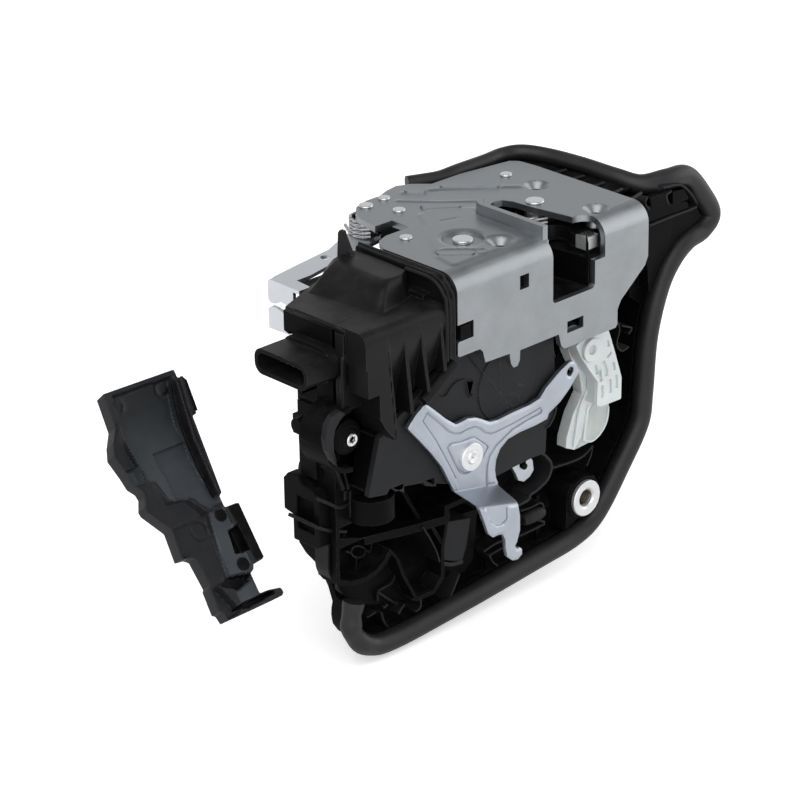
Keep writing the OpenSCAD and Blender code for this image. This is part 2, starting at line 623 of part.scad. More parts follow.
// Slanted back of the left face, seen along the slant: distance from the origin and z
module rear_slant() {
    rotate([0, 0, 44.66]) slab_yz(-200, 200) polygon([[120, -20], [83.6, -20], [71.7, -25],
        [71.7, -72], [80.3, -76], [80.3, -103.5], [77.7, -106.6],
        [72.4, -109.5], [72.4, -113], [67.3, -117], [67.3, -122], [64.4, -124],
        [64.4, -140], [120, -140]]);
}
module actuator_case() {
    color([0.10, 0.10, 0.11]) difference() {
        union() {
            difference() {
                intersection() {
                    union() {
                        slab_xz(seam_y, deep_y) polygon(rear_outline);
                        slab_xz(shelf_y, floor_y) polygon(foot_shelf);
                    }
                    slab_yz(-112, 0) rear_depth();
                }
                rear_slant();
                translate([-130, side_y, -45]) cube([46, 20, 50]);
            }
            // pegs and lug on the left face
            for (p = [[-49.4, 4.2, 14], [-58, 8.4, 14.8]]) translate([-case_left - 2,
                p[1] - p[2], p[0]]) cube([14, p[2], 7.6]);
            translate([-case_left - 2, -3.6, -73]) cube([4, 8.6, 7]);
            bar_y(screw_place, -18.5, seam_y + 4, 4.8);
            ring_wall();
            // round post below the front cover
            bar_z([-90, -14], -90, -80.6, 8.8);
        }
        // only the left end of the case is deep
        translate([deep_right, floor_y, -42]) cube([70, 20, 32]);
        // drive chamber
        slab_xz(seam_y - 1, floor_y - case_wall) offset(-case_wall) polygon([
            [-86, -40], [-86, -84], [-60, -84], [-20, -84], [-6, -84], [-6, -42],
            [-14, -34], [-60, -34]]);
        // recess beside the front cover, round the boss of the screw
        difference() {
            slab_xz(seam_y - 1, -3) polygon([[-102.6, -34], [-102.6, -76], [-84.5, -76],
                [-84.5, -34]]);
            bar_y(screw_place, -20, 0, 4.8);
        }
        // open pockets at the lower left, parted by a thin wall
        slab_xz(seam_y - 1, -2.6) polygon([[-103.8, -99.6], [-103.8, -112.6],
            [-98.8, -114.8], [-90.7, -116.2], [-85.6, -114.9], [-81.4, -112.2],
            [-78.8, -109], [-78.8, -104.4], [-91, -102.6], [-91, -99.6]]);
        difference() {
            intersection() {
                slab_xz(seam_y - 1, floor_y) polygon([[-84, -103.7], [-84, -108],
                    [-78.4, -108.8], [-76.2, -111.4], [-73.8, -114.8], [-71, -122.6],
                    [-67.1, -130], [-64.6, -134], [-56.6, -134.2], [-52.2, -130.2],
                    [-52, -118.4], [-50.2, -110.8], [-49.4, -108.6], [-68, -106.2]]);
                slab_yz(-90, -40) polygon([[seam_y - 2, -95], [13.5, -95], [13.5, -103],
                    [-3.4, -126], [-3.4, -140], [seam_y - 2, -140]]);
            }
            slab_xz(-11, 20) translate([-53.8, -111.7]) rotate(30)
                square([1.4, 10], center = true);
            slab_xz(-8, 20) translate([-57.6, -109.5]) rotate(35)
                square([1.4, 12], center = true);
        }
        difference() {
            slab_xz(seam_y - 1, 5) polygon([[-103.4, -91.4], [-103.4, -95.6], [-92, -99.2],
                [-88, -99.8], [-66, -103.2], [-50, -105.2], [-50, -101], [-30, -101],
                [-30, -90.5], [-40, -88], [-62, -86], [-80, -86], [-80, -91]]);
            slab_xz(-8, 7) translate([-64, -97]) rotate(29)
                square([1.4, 18], center = true);
        }
        bar_y(screw_place, -19, -8, 1.5);
        // seat of the connector
        translate([-case_left - 1, seam_y - 1, -31]) cube([8, 24, 11.4]);
    }
}
// Wall round the boss of the screw, left of the case
module ring_wall() {
    intersection() {
        difference() {
            bar_y(screw_place, -20, seam_y + 6, 12.6);
            bar_y(screw_place, -21, seam_y + 2, 11);
        }
        translate([-120, -21, -66]) cube([16, 20, 27]);
    }
}

// Upper case: band beside the plate, dome, block with tapered gussets
module upper_case() {
    color([0.11, 0.11, 0.12]) difference() {
        union() {
            // band that follows the bend of the plate
            slab_yz(-plate_left - 4.7, -plate_left - 0.2) polygon([[14, -0.6], [-20, -0.6],
                [-24.5, -2], [-27.5, -5], [-29, -9.5], [-29, -31], [-25, -31], [-25, -13],
                [-19, -10], [14, -10]]);
            // floor of the groove
            translate([-72, seam_y, -12]) cube([12, 24, 3]);
            hull() {
                translate([-72, -15, -3]) cube([1, 33, 1]);
                translate([-81, -11, -4.2]) cube([1, 28, 1]);
                translate([-72, -24, -13]) cube([1, 48, 2]);
                translate([-case_left, -16, -11.8]) cube([1, 28, 1.2]);
            }
            slab_yz(-99, -64.5) polygon([[-27, -9], [-19, -57], [seam_y, -57],
                [seam_y, -11.2], [-22, -8]]);
            slab_yz(-103.8, -98.9) polygon([[-29, -13], [-26.6, -9.4], [-15, -9.4],
                [-15, -16], [-26.2, -18], [-26.2, -34.2], [-29, -34.2]]);
            for (i = [0 : gusset_count - 1]) translate([-99 + i * 32.2 / (gusset_count - 1),
                0, 0]) slab_yz(0, gusset_t) polygon([[-29, -10], [-29, -57], [-16, -57],
                [-16, -10], [-26, -8.6]]);
            // fin at the back
            slab_yz(-69.5, -67.5) polygon([[5, -9], [5, -12], [24, -12], [24, -6], [23, 5],
                [21, 6.5], [19, 5], [14, -6]]);
        }
        // diagonal lower edge
        slab_xz(-40, 0) polygon([[-110, -60], [-100, -57.6], [-60, -33.5], [-60, -70],
            [-110, -70]]);
        // open left side of the block
        translate([-100, -24.5, -58]) cube([10, 14, 38]);
        // under the dome
        translate([-110, seam_y, -30]) cube([40, 40, 18]);
    }
}

// Front cover: outline seen from the front
front_outline = [
    [-64, case_top + 1.2], [-14, case_top + 1.2], [-6, -36], [-2, -44], [-1, -84],
    [-1, -97], [-6, -108], [-14, -110], [-22, -108], [-27, -98], [-38, -88],
    [-60.9, -83], [-86.7, -79], [-99.6, -76.4], [-93.6, -54.6], [-64, -38]
];
module front_cover() {
    front = cover_y + 2.5;
    color([0.20, 0.20, 0.21]) difference() {
        union() {
            slab_xz(cover_y, seam_y) polygon(front_outline);
            bar_y([-33, -44], cover_y - 0.6, cover_y + 1, 5);
        }
        slab_xz(front, seam_y + 1) offset(-case_wall) polygon([
            [-64, -33], [-14, -33], [-6, -40], [-4, -84], [-30, -84], [-60.5, -82],
            [-99.2, -76], [-93.2, -55.6], [-64, -39]]);
        bar_y(pocket_place, cover_y - 1, seam_y - 2.4, pocket_r - 2);
        bar_y(key_pivot, cover_y - 1, seam_y + 1, 2);
        bar_y(release_pivot, cover_y - 1, seam_y + 1, release_pin_r + 0.05);
        bar_y(wheel_place, cover_y - 1, cover_y + 1.2, 15.3);
        bar_y(wheel_place, cover_y - 1, seam_y + 1, 2.05);
    }
    // boss that carries the release lever's pin
    color([0.20, 0.20, 0.21]) difference() {
        bar_y(release_pivot, front - eps, seam_y, 6.5);
        bar_y(release_pivot, cover_y - 1, seam_y + 1, release_pin_r + 0.05);
    }
}
module drive_cap() {
    color([0.24, 0.24, 0.25]) difference() {
        union() {
            bar_y(wheel_place, cover_y, cover_y + 1.2, 15);
            translate([wheel_place[0] - 0.6, cover_y - 0.6, wheel_place[1] - 14])
                cube([1.2, 0.7, 28]);
            bar_y(wheel_place, cover_y - 0.5, cover_y, 8);
        }
        bar_y(wheel_place, cover_y - 1, cover_y + 2, 2.05);
    }
}

// Screw with a six-lobe recess
module case_screw() {
    head = -20.5;
    color([0.78, 0.79, 0.80]) difference() {
        union() {
            bar_y(screw_place, head, head + 2, 3.1);
            bar_y(screw_place, head + 2, -9, 1.45);
        }
        for (k = [0 : 2]) translate([screw_place[0], head - eps, screw_place[1]])
            rotate([0, 60 * k, 0]) translate([-1.5, 0, -0.5]) cube([3, 1.2, 1]);
    }
}

// Connector: oval tube open at its mouth
module connector_shell() {
    color([0.09, 0.09, 0.10]) translate([0, -2.5, -25.2]) difference() {
        union() {
            slab_yz(-case_left - plug_len, -case_left + 5) soft_rect(plug_w, plug_h, 4);
            slab_yz(-case_left - 4, -case_left) soft_rect(plug_w - 4, plug_h + 3.4, 4);
        }
        slab_yz(-case_left - plug_len - 1, -case_left - 3)
            soft_rect(plug_w - 2 * plug_wall, plug_h - 2 * plug_wall, 3);
        translate([-case_left - 3 - eps, -8.2, -2]) for (i = [0 : 5])
            translate([0, 3.2 * i, 0]) cube([9, 1, 1]);
    }
}
module connector_pins() {
    color([0.80, 0.70, 0.45]) translate([0, -2.5, -25.2]) for (i = [0 : 5])
        translate([-case_left - 9, -8.1 + 3.2 * i, -1.9]) cube([14, 0.8, 0.8]);
}
module switch_box() {
    color([0.13, 0.13, 0.14]) translate([-case_left - 5, 0, 0]) difference() {
        slab_yz(0, 5) polygon([[-8, -98], [-8, -79.5], [-5, -76.6], [2, -75.4], [3, -73],
            [9, -73.4], [11.3, -76], [11.3, -88.6], [6.5, -89.5], [6.5, -99.5], [-6, -99.5]]);
        translate([-1, -5, -94]) cube([3, 9, 13]);
    }
}
module lead_frame() {
    color([0.80, 0.70, 0.45]) {
        translate([-81, floor_y - case_wall - 1, -81]) cube([33, 1, 7]);
        translate([-83.6, floor_y - case_wall - 1, -81]) cube([2.5, 1, 38]);
    }
}
module micro_switches() {
    color([0.15, 0.15, 0.16]) for (x = [-80, -65])
        translate([x, floor_y - case_wall - 5, -50]) cube([13, 5, 6.5]);
}

// Release lever: flat upper arms, a step towards the viewer and a hooked lower arm
upper_arms = [
    [-74, -46.4], [-59, -59.7], [-55, -58.6], [-49.6, -59.5], [-44.4, -61.8],
    [-41.3, -64], [-34, -64], [-15.4, -62.7], [-11, -58.7], [4.2, -53.4], [6.4, -57.2],
    [3.7, -60.5], [-10.4, -70], [-11.4, -73], [-23.4, -74.5], [-31.4, -74.7],
    [-35.1, -76.3], [-37.7, -79.5], [-38.8, -84.5], [-38.4, -85], [-62.7, -81.3],
    [-65.2, -75.5], [-72.7, -65.7], [-83.5, -53.9]
];
lower_arm = [
    [-42.5, -90.5], [-39.3, -94.5], [-38.3, -101.1], [-38.3, -105.2], [-40.4, -108.6],
    [-40.9, -110.5], [-39.9, -111.8], [-37.7, -112.1], [-37.2, -115.2], [-38.8, -117.2],
    [-42, -116.6], [-45.1, -114], [-45.7, -109.7], [-44.6, -107.1], [-46.2, -104.5],
    [-48.3, -102.9], [-50.4, -103.4], [-52.5, -103.5], [-54.5, -100.7], [-57.1, -94.4],
    [-59.2, -90.4], [-63.6, -87]
];
module release_lever() {
    y1 = lever_y + lever_t;
    y2 = lever_y - lever_joggle;
    color([0.74, 0.76, 0.79]) difference() {
        union() {
            slab_xz(lever_y, y1) polygon(upper_arms);
            slab_xz(y2, y2 + lever_t) polygon(lower_arm);
            hull() {
                slab_xz(lever_y, y1) polygon([[-62.7, -81.3], [-38.4, -85], [-38.5, -86],
                    [-62.9, -82.3]]);
                slab_xz(y2, y2 + lever_t) polygon([[-63.6, -87], [-42.5, -90.5],
                    [-42.9, -91.2], [-62.6, -88.2]]);
            }
        }
        bar_y(release_pivot, lever_y - 1, y1 + 1, release_pin_r + pin_gap);
        bar_y([2.4, -57], lever_y - 1, y1 + 1, 1.7);
    }
}
module release_lever_pin() {
    color([0.85, 0.86, 0.87]) {
        bar_y(release_pivot, lever_y - 1.5, lever_y - 0.1, 5.2);
        bar_y(release_pivot, lever_y - 0.1, seam_y, release_pin_r);
    }
}
module lever_bumper() {
    color([0.30, 0.31, 0.32]) translate([-73.9, -25.9, -45.5]) rotate([0, 56, 0])
        cylinder(h = 18.6, r = 2.2);
}

// Lock lever: ribbed white plastic plate on a round eye
lock_shape = [
    [10.5, -51.4], [13.4, -49.6], [30, -50.8], [33.5, -59], [36, -69], [35.7, -81.7],
    [22.5, -80.3], [18.5, -70], [14.2, -62.2]
];
module lock_lever() {
    color([0.86, 0.87, 0.85]) difference() {
        union() {
            slab_xz(lock_y, lock_y + lock_t) polygon(lock_shape);
            bar_y(lock_pivot, lock_y - 1, lock_y + lock_t, 6.2);
        }
        for (i = [0 : 2]) for (k = [0 : 2])
            if (i < 2 || k > 0) translate([22.5 + 4.2 * i, lock_y - 1, -65.5 - 5.2 * k])
                cube([3, 4, 4]);
        bar_y(lock_pivot, lock_y - 2, lock_y + lock_t + 1, lock_pin_r + pin_gap);
    }
}
module lock_lever_pin() {
    color([0.82, 0.83, 0.84]) {
        bar_y(lock_pivot, lock_y - 2.4, lock_y - 1.1, 4.3);
        bar_y(lock_pivot, lock_y - 1.1, floor_y - 3, lock_pin_r);
    }
}
// Lock link: curved blade behind the lever, on the same pin
module lock_link() {
    y0 = lock_y + lock_t + 0.3;
    color([0.84, 0.85, 0.83]) difference() {
        union() {
            slab_xz(y0, y0 + 5) polygon([[14, -53], [24, -53], [28, -62], [32, -71],
                [33.2, -80.9], [26.1, -82.8], [22.2, -87.9], [20.6, -94.6], [16.7, -98.9],
                [11.7, -96.5], [11.9, -92.5], [15.5, -83.5], [20.6, -76.4], [19, -68],
                [14.5, -60]]);
            bar_y(lock_pivot, y0, y0 + 5, 6.2);
        }
        bar_y(lock_pivot, y0 - 1, y0 + 6, lock_pin_r + pin_gap);
    }
}
// Pale quarter disc beside the blade
module link_shield() {
    y0 = lock_y + lock_t + 0.3;
    color([0.80, 0.84, 0.82, 0.7]) slab_xz(y0, y0 + 4) polygon([[26.3, -83],
        [33.3, -81.1], [35.9, -85.9], [35.8, -90.2], [32.5, -96.4], [27.5, -98.4],
        [17.4, -98.9], [20.9, -94.8], [22.5, -88.1]]);
}
// Small lever in the ringed pocket, turned by the lock cylinder
module key_lever() {
    y0 = cover_y + 4.5;
    color([0.78, 0.79, 0.81]) difference() {
        slab_xz(y0, y0 + 2) polygon([[-20.5, -92], [-19, -96], [-17, -101],
            [-13.5, -101.5], [-10.5, -99], [-9, -94.5], [-10.5, -90.5], [-13, -89.5]]);
        bar_y(key_pivot, y0 - 1, y0 + 3, 2.2 + pin_gap);
    }
}
module key_lever_pin() {
    color([0.60, 0.61, 0.62]) {
        bar_y(key_pivot, cover_y + 3.4, cover_y + 4.4, 3);
        bar_y(key_pivot, cover_y + 4.4, seam_y - 2.4, 2.2);
        bar_y(key_pivot, seam_y - 2.4, seam_y, 1.95);
    }
}

// Drive: motor, worm and wheel in the rear case
module lock_motor() {
    color([0.70, 0.71, 0.72]) translate([motor_x, wheel_y + wheel_w / 2, worm_z])
        rotate([0, -90, 0]) intersection() {
            cylinder(h = motor_len, r = motor_r);
            translate([-motor_r, -motor_r + 2.5, -1])
                cube([2 * motor_r, 2 * motor_r - 5, motor_len + 2]);
        }
}
// Worm: its radius at a height and angle, one thread of 8 turns wound on the core
worm_pitch = 2 * PI * wheel_r / wheel_teeth;
worm_core = worm_r - 1.2;
worm_start = wheel_place[0] - motor_x - 4 * worm_pitch;
function worm_radius(z, a) = let (
    p = (z - worm_start) / worm_pitch + a / 360 + 0.5,
    d = abs(p - round(p)))
    abs(z - worm_start - 4 * worm_pitch) > 4 * worm_pitch ? worm_core
    : worm_core + (worm_r - 0.1 - worm_core) * min(1, max(0, (0.19 - d) / 0.08));
module motor_worm() {
    n = 86;
    sides = 16;
    rings = [for (i = [0 : n], k = [0 : sides - 1]) let (
        z = 0.4 + 34 * i / n, a = 360 * k / sides, r = worm_radius(z, a))
        [r * cos(a), r * sin(a), z]];
    skin = [for (i = [0 : n - 1], k = [0 : sides - 1]) let (
        a = i * sides + k, b = i * sides + (k + 1) % sides)
        each [[a, b + sides, b], [a, a + sides, b + sides]]];
    color([0.75, 0.66, 0.35]) translate([motor_x, wheel_y + wheel_w / 2, worm_z])
        rotate([0, 90, 0]) polyhedron(rings, concat(skin, [[for (k = [0 : sides - 1]) k]],
            [[for (k = [sides - 1 : -1 : 0]) n * sides + k]]));
}
module worm_wheel() {
    root = wheel_r - 1;
    color([0.80, 0.80, 0.74]) difference() {
        union() {
            bar_y(wheel_place, wheel_y, wheel_y + wheel_w, root);
            for (i = [0 : wheel_teeth - 1])
                translate([wheel_place[0], wheel_y + wheel_w, wheel_place[1]])
                rotate([90, 360 * (i + 0.5) / wheel_teeth, 0]) linear_extrude(wheel_w)
                polygon([[root - 0.5, -0.9], [wheel_r + 0.6, -0.4], [wheel_r + 0.6, 0.4],
                    [root - 0.5, 0.9]]);
        }
        bar_y(wheel_place, wheel_y - 1, wheel_y + wheel_w + 1, 2 + pin_gap);
    }
}
module wheel_axle() {
    color([0.70, 0.71, 0.72]) bar_y(wheel_place, cover_y + 0.4, floor_y - case_wall, 2);
}

// Loose cover in its own frame: x across, y along, z up from its floor
loose_outline = [
    [13.2, -3.8], [48.7, -2.9], [51.7, 0], [49.7, 15.1], [47.3, 15.1], [46.6, 22.9],
    [44.2, 45], [42.8, 50.5], [48.3, 50.1], [47.9, 73.5], [42.4, 74], [39.1, 76.3],
    [38.6, 84.5], [48.8, 85], [48.6, 88.6], [41.6, 90], [19.1, 89.8], [19, 85.9],
    [16.7, 85], [17.4, 75.1], [18.3, 64], [12.2, 62.6], [13.4, 50.8], [8.2, 41.5],
    [8.2, 39.1], [10.6, 35.6], [7.9, 31.5], [5.7, 18.6], [7.4, 14.8], [12.4, 8.2]
];
loose_inner = [
    [20, -1], [17.2, 7], [14.6, 14.1], [15.6, 24.3], [15.7, 32.3], [21, 34.9], [23.2, 42],
    [27.5, 48], [26, 62]
];
loose_bosses = [[24.1, 1.8], [41.3, 18], [43.6, 54], [31.3, 53.5], [43.6, 69.5]];
module cable_cover() {
    color([0.12, 0.12, 0.13]) translate(loose_place) rotate([loose_tilt, 0, 0])
        mirror([0, 1, 0]) translate([0, 0, -loose_h]) difference() {
            union() {
                difference() {
                    linear_extrude(loose_h) polygon(loose_outline);
                    translate([0, 0, loose_wall]) linear_extrude(loose_h)
                        offset(-loose_wall) polygon(loose_outline);
                }
                linear_extrude(loose_h - 1) for (i = [0 : len(loose_inner) - 2])
                    stadium(loose_inner[i], loose_inner[i + 1], loose_wall / 2, $fn = 8);
                // step of the floor
                translate([16, 0, 0]) cube([29, 22, loose_h - 6 + loose_wall]);
                for (p = loose_bosses) translate([p[0], p[1], 0])
                    cylinder(h = loose_h - 1, r = 2.2, $fn = 24);
            }
            for (p = loose_bosses) translate([p[0], p[1], loose_wall])
                cylinder(h = loose_h, r = 1, $fn = 24);
        }
}

latch_plate();
plate_rivets();
back_plate();
latch_housing();
throat_buffer();
claw_pin();
pawl_pin();
claw();
claw_overmould();
claw_spring();
pawl();
pawl_spring();
outside_lever();
outside_lever_pin();
outside_lever_spring();
base_carrier();
perimeter_seal();
threaded_insert();
actuator_case();
upper_case();
front_cover();
drive_cap();
case_screw();
connector_shell();
connector_pins();
switch_box();
lead_frame();
micro_switches();
release_lever();
release_lever_pin();
lever_bumper();
lock_lever();
lock_lever_pin();
lock_link();
link_shield();
key_lever();
key_lever_pin();
lock_motor();
motor_worm();
worm_wheel();
wheel_axle();
cable_cover();
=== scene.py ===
"""Looks of a vehicle door latch with its lock actuator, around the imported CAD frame.

Lengths in this script are millimetres in the part's own frame and become metres where a
mesh is made. Every new piece is a surface computed with numpy.
"""

import json
import math

import bmesh
import bpy
import numpy as np
from mathutils import Matrix, Vector
from mathutils.bvhtree import BVHTree
from mathutils.geometry import delaunay_2d_cdt, tessellate_polygon


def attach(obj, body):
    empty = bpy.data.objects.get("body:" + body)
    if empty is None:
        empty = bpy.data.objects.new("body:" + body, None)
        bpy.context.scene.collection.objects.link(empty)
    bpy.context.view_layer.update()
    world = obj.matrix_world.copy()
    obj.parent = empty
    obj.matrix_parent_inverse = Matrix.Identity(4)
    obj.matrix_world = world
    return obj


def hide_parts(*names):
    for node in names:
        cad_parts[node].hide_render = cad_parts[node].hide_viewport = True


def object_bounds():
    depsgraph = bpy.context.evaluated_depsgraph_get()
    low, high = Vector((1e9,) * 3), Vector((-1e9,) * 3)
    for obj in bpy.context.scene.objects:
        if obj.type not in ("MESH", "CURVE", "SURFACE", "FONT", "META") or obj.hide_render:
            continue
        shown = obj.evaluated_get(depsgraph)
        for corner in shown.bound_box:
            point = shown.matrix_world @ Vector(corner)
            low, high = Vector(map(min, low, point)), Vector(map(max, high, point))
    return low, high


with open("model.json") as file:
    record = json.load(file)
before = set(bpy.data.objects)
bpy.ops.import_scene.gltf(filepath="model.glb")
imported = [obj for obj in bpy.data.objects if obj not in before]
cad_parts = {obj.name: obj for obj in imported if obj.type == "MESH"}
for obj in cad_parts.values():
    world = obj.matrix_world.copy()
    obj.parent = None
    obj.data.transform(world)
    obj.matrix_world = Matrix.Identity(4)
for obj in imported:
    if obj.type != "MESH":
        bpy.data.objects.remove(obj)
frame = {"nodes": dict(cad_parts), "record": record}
cad_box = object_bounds()
MM = 0.001
nodes = frame["nodes"]


# ---- camera -----------------------------------------------------------------
PIXELS = 800
SENSOR = 36.0


def aimed(x, y, z, place):
    """Matrix of an object at place (mm) with the axes x, y and z."""
    m = Matrix.Identity(4)
    for i in range(3):
        m[i][0], m[i][1], m[i][2], m[i][3] = x[i], y[i], z[i], place[i] * MM
    return m


def look_from(place, azimuth, elevation, roll, lens):
    """Camera at place (mm) with azimuth and elevation of its view, then a small roll; gives
    its place and its right, up and ahead axes, scaled to a pixel of its square view."""
    a, e, r = (math.radians(v) for v in (azimuth, elevation, roll))
    ahead = np.array([-math.sin(a) * math.cos(e), math.cos(a) * math.cos(e), -math.sin(e)])
    right = np.array([math.cos(a), math.sin(a), 0.0])
    up = np.array([-math.sin(a) * math.sin(e), math.cos(a) * math.sin(e), math.cos(e)])
    right, up = (right * math.cos(r) + up * math.sin(r),
                 -right * math.sin(r) + up * math.cos(r))
    cam = bpy.data.objects.new("camera", bpy.data.cameras.new("camera"))
    cam.data.lens, cam.data.sensor_width = lens, SENSOR
    cam.data.clip_start, cam.data.clip_end = 0.05, 30.0
    cam.matrix_world = aimed(right, up, -ahead, place)
    bpy.context.collection.objects.link(cam)
    bpy.context.scene.camera = cam
    size = SENSOR / PIXELS / lens
    return np.array(place), right * size, up * size, ahead


# Fitted to the straight edges of the latch plate in the photo
VIEW = look_from((-827.0, -815.3, 450.1), -43.2, 24.4, -0.92, 149.4)


# ---- shader helpers -----------------------------------------------------------
def node(tree, kind, **values):
    """Adds a shader node; keys that name an input set it, the rest set properties."""
    n = tree.nodes.new(kind)
    for key, value in values.items():
        socket = n.inputs.get(key.replace("_", " "))
        if socket is not None and key[0].isupper():
            socket.default_value = value
        else:
            setattr(n, key, value)
    return n


def wire(tree, a, b):
    """Joins output a, a socket, to input b."""
    tree.links.new(a, b)


def feed(tree, values, sockets):
    """Gives each input its value: a number is set, an output is joined, None is left."""
    for v, socket in zip(values, sockets):
        if isinstance(v, (int, float)):
            socket.default_value = v
        elif v is not None:
            wire(tree, v, socket)


def calc(tree, op, a, b=None):
    """Math node on sockets or numbers; gives its output socket."""
    n = node(tree, "ShaderNodeMath", operation=op)
    feed(tree, (a, b), n.inputs)
    return n.outputs[0]


def ramp(tree, value, low, high, to_low=0.0, to_high=1.0):
    """Map Range from low..high to to_low..to_high, clamped."""
    n = node(tree, "ShaderNodeMapRange", clamp=True)
    feed(tree, (value, low, high, to_low, to_high), n.inputs)
    return n.outputs[0]


def new_group(name, inputs, outputs):
    """Shader node group with float or colour sockets; gives (tree, in node, out node)."""
    g = bpy.data.node_groups.new(name, "ShaderNodeTree")
    for label, kind, value in inputs:
        s = g.interface.new_socket(label, in_out="INPUT", socket_type="NodeSocket" + kind)
        if value is not None:
            s.default_value = value
    for label, kind in outputs:
        g.interface.new_socket(label, in_out="OUTPUT", socket_type="NodeSocket" + kind)
    return g, g.nodes.new("NodeGroupInput"), g.nodes.new("NodeGroupOutput")


def noise(tree, vector, scale, detail=2.0, rough=0.5, stretch=None):
    """Noise on a vector socket, its scale a number or a socket, stretched by three
    factors if given."""
    if stretch:
        m = node(tree, "ShaderNodeMapping")
        m.inputs["Scale"].default_value = stretch
        wire(tree, vector, m.inputs["Vector"])
        vector = m.outputs[0]
    n = node(tree, "ShaderNodeTexNoise", Detail=detail, Roughness=rough)
    feed(tree, (vector, scale), (n.inputs["Vector"], n.inputs["Scale"]))
    return n.outputs[0]


def build_grain():
    """Moulded grain: fine noise gives a height, coarse noise gives a tone mask."""
    g, i, o = new_group("moulded_grain",
                        [("Vector", "Vector", None), ("Fine", "Float", 2600.0),
                         ("Coarse", "Float", 60.0)],
                        [("Height", "Float"), ("Tone", "Float")])
    v, fine, coarse = (i.outputs[k] for k in ("Vector", "Fine", "Coarse"))
    wire(g, noise(g, v, fine, 3.0, 0.6), o.inputs["Height"])
    wire(g, noise(g, v, coarse, 3.0, 0.55), o.inputs["Tone"])
    return g


def build_edge_wear_highlight():
    """Edge wear and painted edge highlight: where a bevelled normal leaves the true one,
    broken up by noise.
    """
    g, i, o = new_group("edge_wear_and_painted_highlight",
                        [("Vector", "Vector", None), ("Reach", "Float", 0.0004)],
                        [("Mask", "Float")])
    bevel = node(g, "ShaderNodeBevel", samples=4)
    wire(g, i.outputs["Reach"], bevel.inputs["Radius"])
    same = node(g, "ShaderNodeVectorMath", operation="DOT_PRODUCT")
    wire(g, bevel.outputs[0], same.inputs[0])
    wire(g, node(g, "ShaderNodeNewGeometry").outputs["Normal"], same.inputs[1])
    edge = ramp(g, same.outputs["Value"], 0.86, 0.99, 1.0, 0.0)
    broken = ramp(g, noise(g, i.outputs["Vector"], 420.0, 4.0, 0.6), 0.35, 0.62)
    wire(g, calc(g, "MULTIPLY", edge, broken), o.inputs["Mask"])
    return g


def build_dust():
    """Settled dust: faces that look up, broken up by noise."""
    g, i, o = new_group("settled_dust",
                        [("Vector", "Vector", None), ("Amount", "Float", 0.2)],
                        [("Mask", "Float")])
    xyz = node(g, "ShaderNodeSeparateXYZ")
    wire(g, node(g, "ShaderNodeNewGeometry").outputs["Normal"], xyz.inputs[0])
    up = ramp(g, xyz.outputs[2], 0.3, 1.0)
    cloud = ramp(g, noise(g, i.outputs["Vector"], 150.0, 5.0, 0.65), 0.4, 0.75)
    m = calc(g, "MULTIPLY", calc(g, "MULTIPLY", up, cloud), i.outputs["Amount"])
    wire(g, m, o.inputs["Mask"])
    return g


def build_rolled():
    """Rolled sheet: long fine streaks, faint blotches and a few thin scratches."""
    g, i, o = new_group("rolled_sheet", [("Vector", "Vector", None)],
                        [("Streak", "Float"), ("Blotch", "Float"), ("Scratch", "Float")])
    v = i.outputs["Vector"]
    wire(g, noise(g, v, 60.0, 6.0, 0.7, (2.0, 60.0, 60.0)), o.inputs["Streak"])
    wire(g, noise(g, v, 90.0, 4.0, 0.6), o.inputs["Blotch"])
    line = noise(g, v, 30.0, 2.0, 0.5, (30.0, 1.5, 9.0))
    thin = ramp(g, calc(g, "ABSOLUTE", calc(g, "SUBTRACT", line, 0.5)), 0.0, 0.006, 1.0, 0.0)
    gate = ramp(g, noise(g, v, 45.0, 2.0, 0.5), 0.56, 0.66)
    wire(g, calc(g, "MULTIPLY", thin, gate), o.inputs["Scratch"])
    return g


GRAIN, EDGE_WEAR_HIGHLIGHT, DUST, ROLLED = build_grain(), build_edge_wear_highlight(), build_dust(), build_rolled()


def placed(tree, group, vector, **values):
    """Places an effect group, feeds it the vector and sets its named values."""
    n = node(tree, "ShaderNodeGroup", node_tree=group)
    wire(tree, vector, n.inputs["Vector"])
    for key, value in values.items():
        n.inputs[key].default_value = value
    return n.outputs


def mix(tree, mask, a, b):
    """Colour mix from a to b, each a colour or a socket, by a mask socket."""
    n = tree.nodes.new("ShaderNodeMix")
    n.data_type = "RGBA"
    wire(tree, mask, n.inputs["Factor"])
    for socket, v in ((n.inputs[6], a), (n.inputs[7], b)):
        if isinstance(v, tuple):
            socket.default_value = (*v, 1.0)
        else:
            wire(tree, v, socket)
    return n.outputs[2]


def start_material(name, **values):
    """Material with a Principled shader whose plain values are set on its sockets."""
    m = bpy.data.materials.new(name)
    m.use_nodes = True
    t = m.node_tree
    t.nodes.clear()
    shader = node(t, "ShaderNodeBsdfPrincipled", **values)
    wire(t, shader.outputs[0], node(t, "ShaderNodeOutputMaterial").inputs["Surface"])
    return m, t, shader, node(t, "ShaderNodeTexCoord").outputs["Object"]


def bumped(t, shader, height, distance):
    """Feeds a height through a Bump node to the shader's normal."""
    b = node(t, "ShaderNodeBump", Strength=1.0, Distance=distance)
    wire(t, height, b.inputs["Height"])
    wire(t, b.outputs[0], shader.inputs["Normal"])


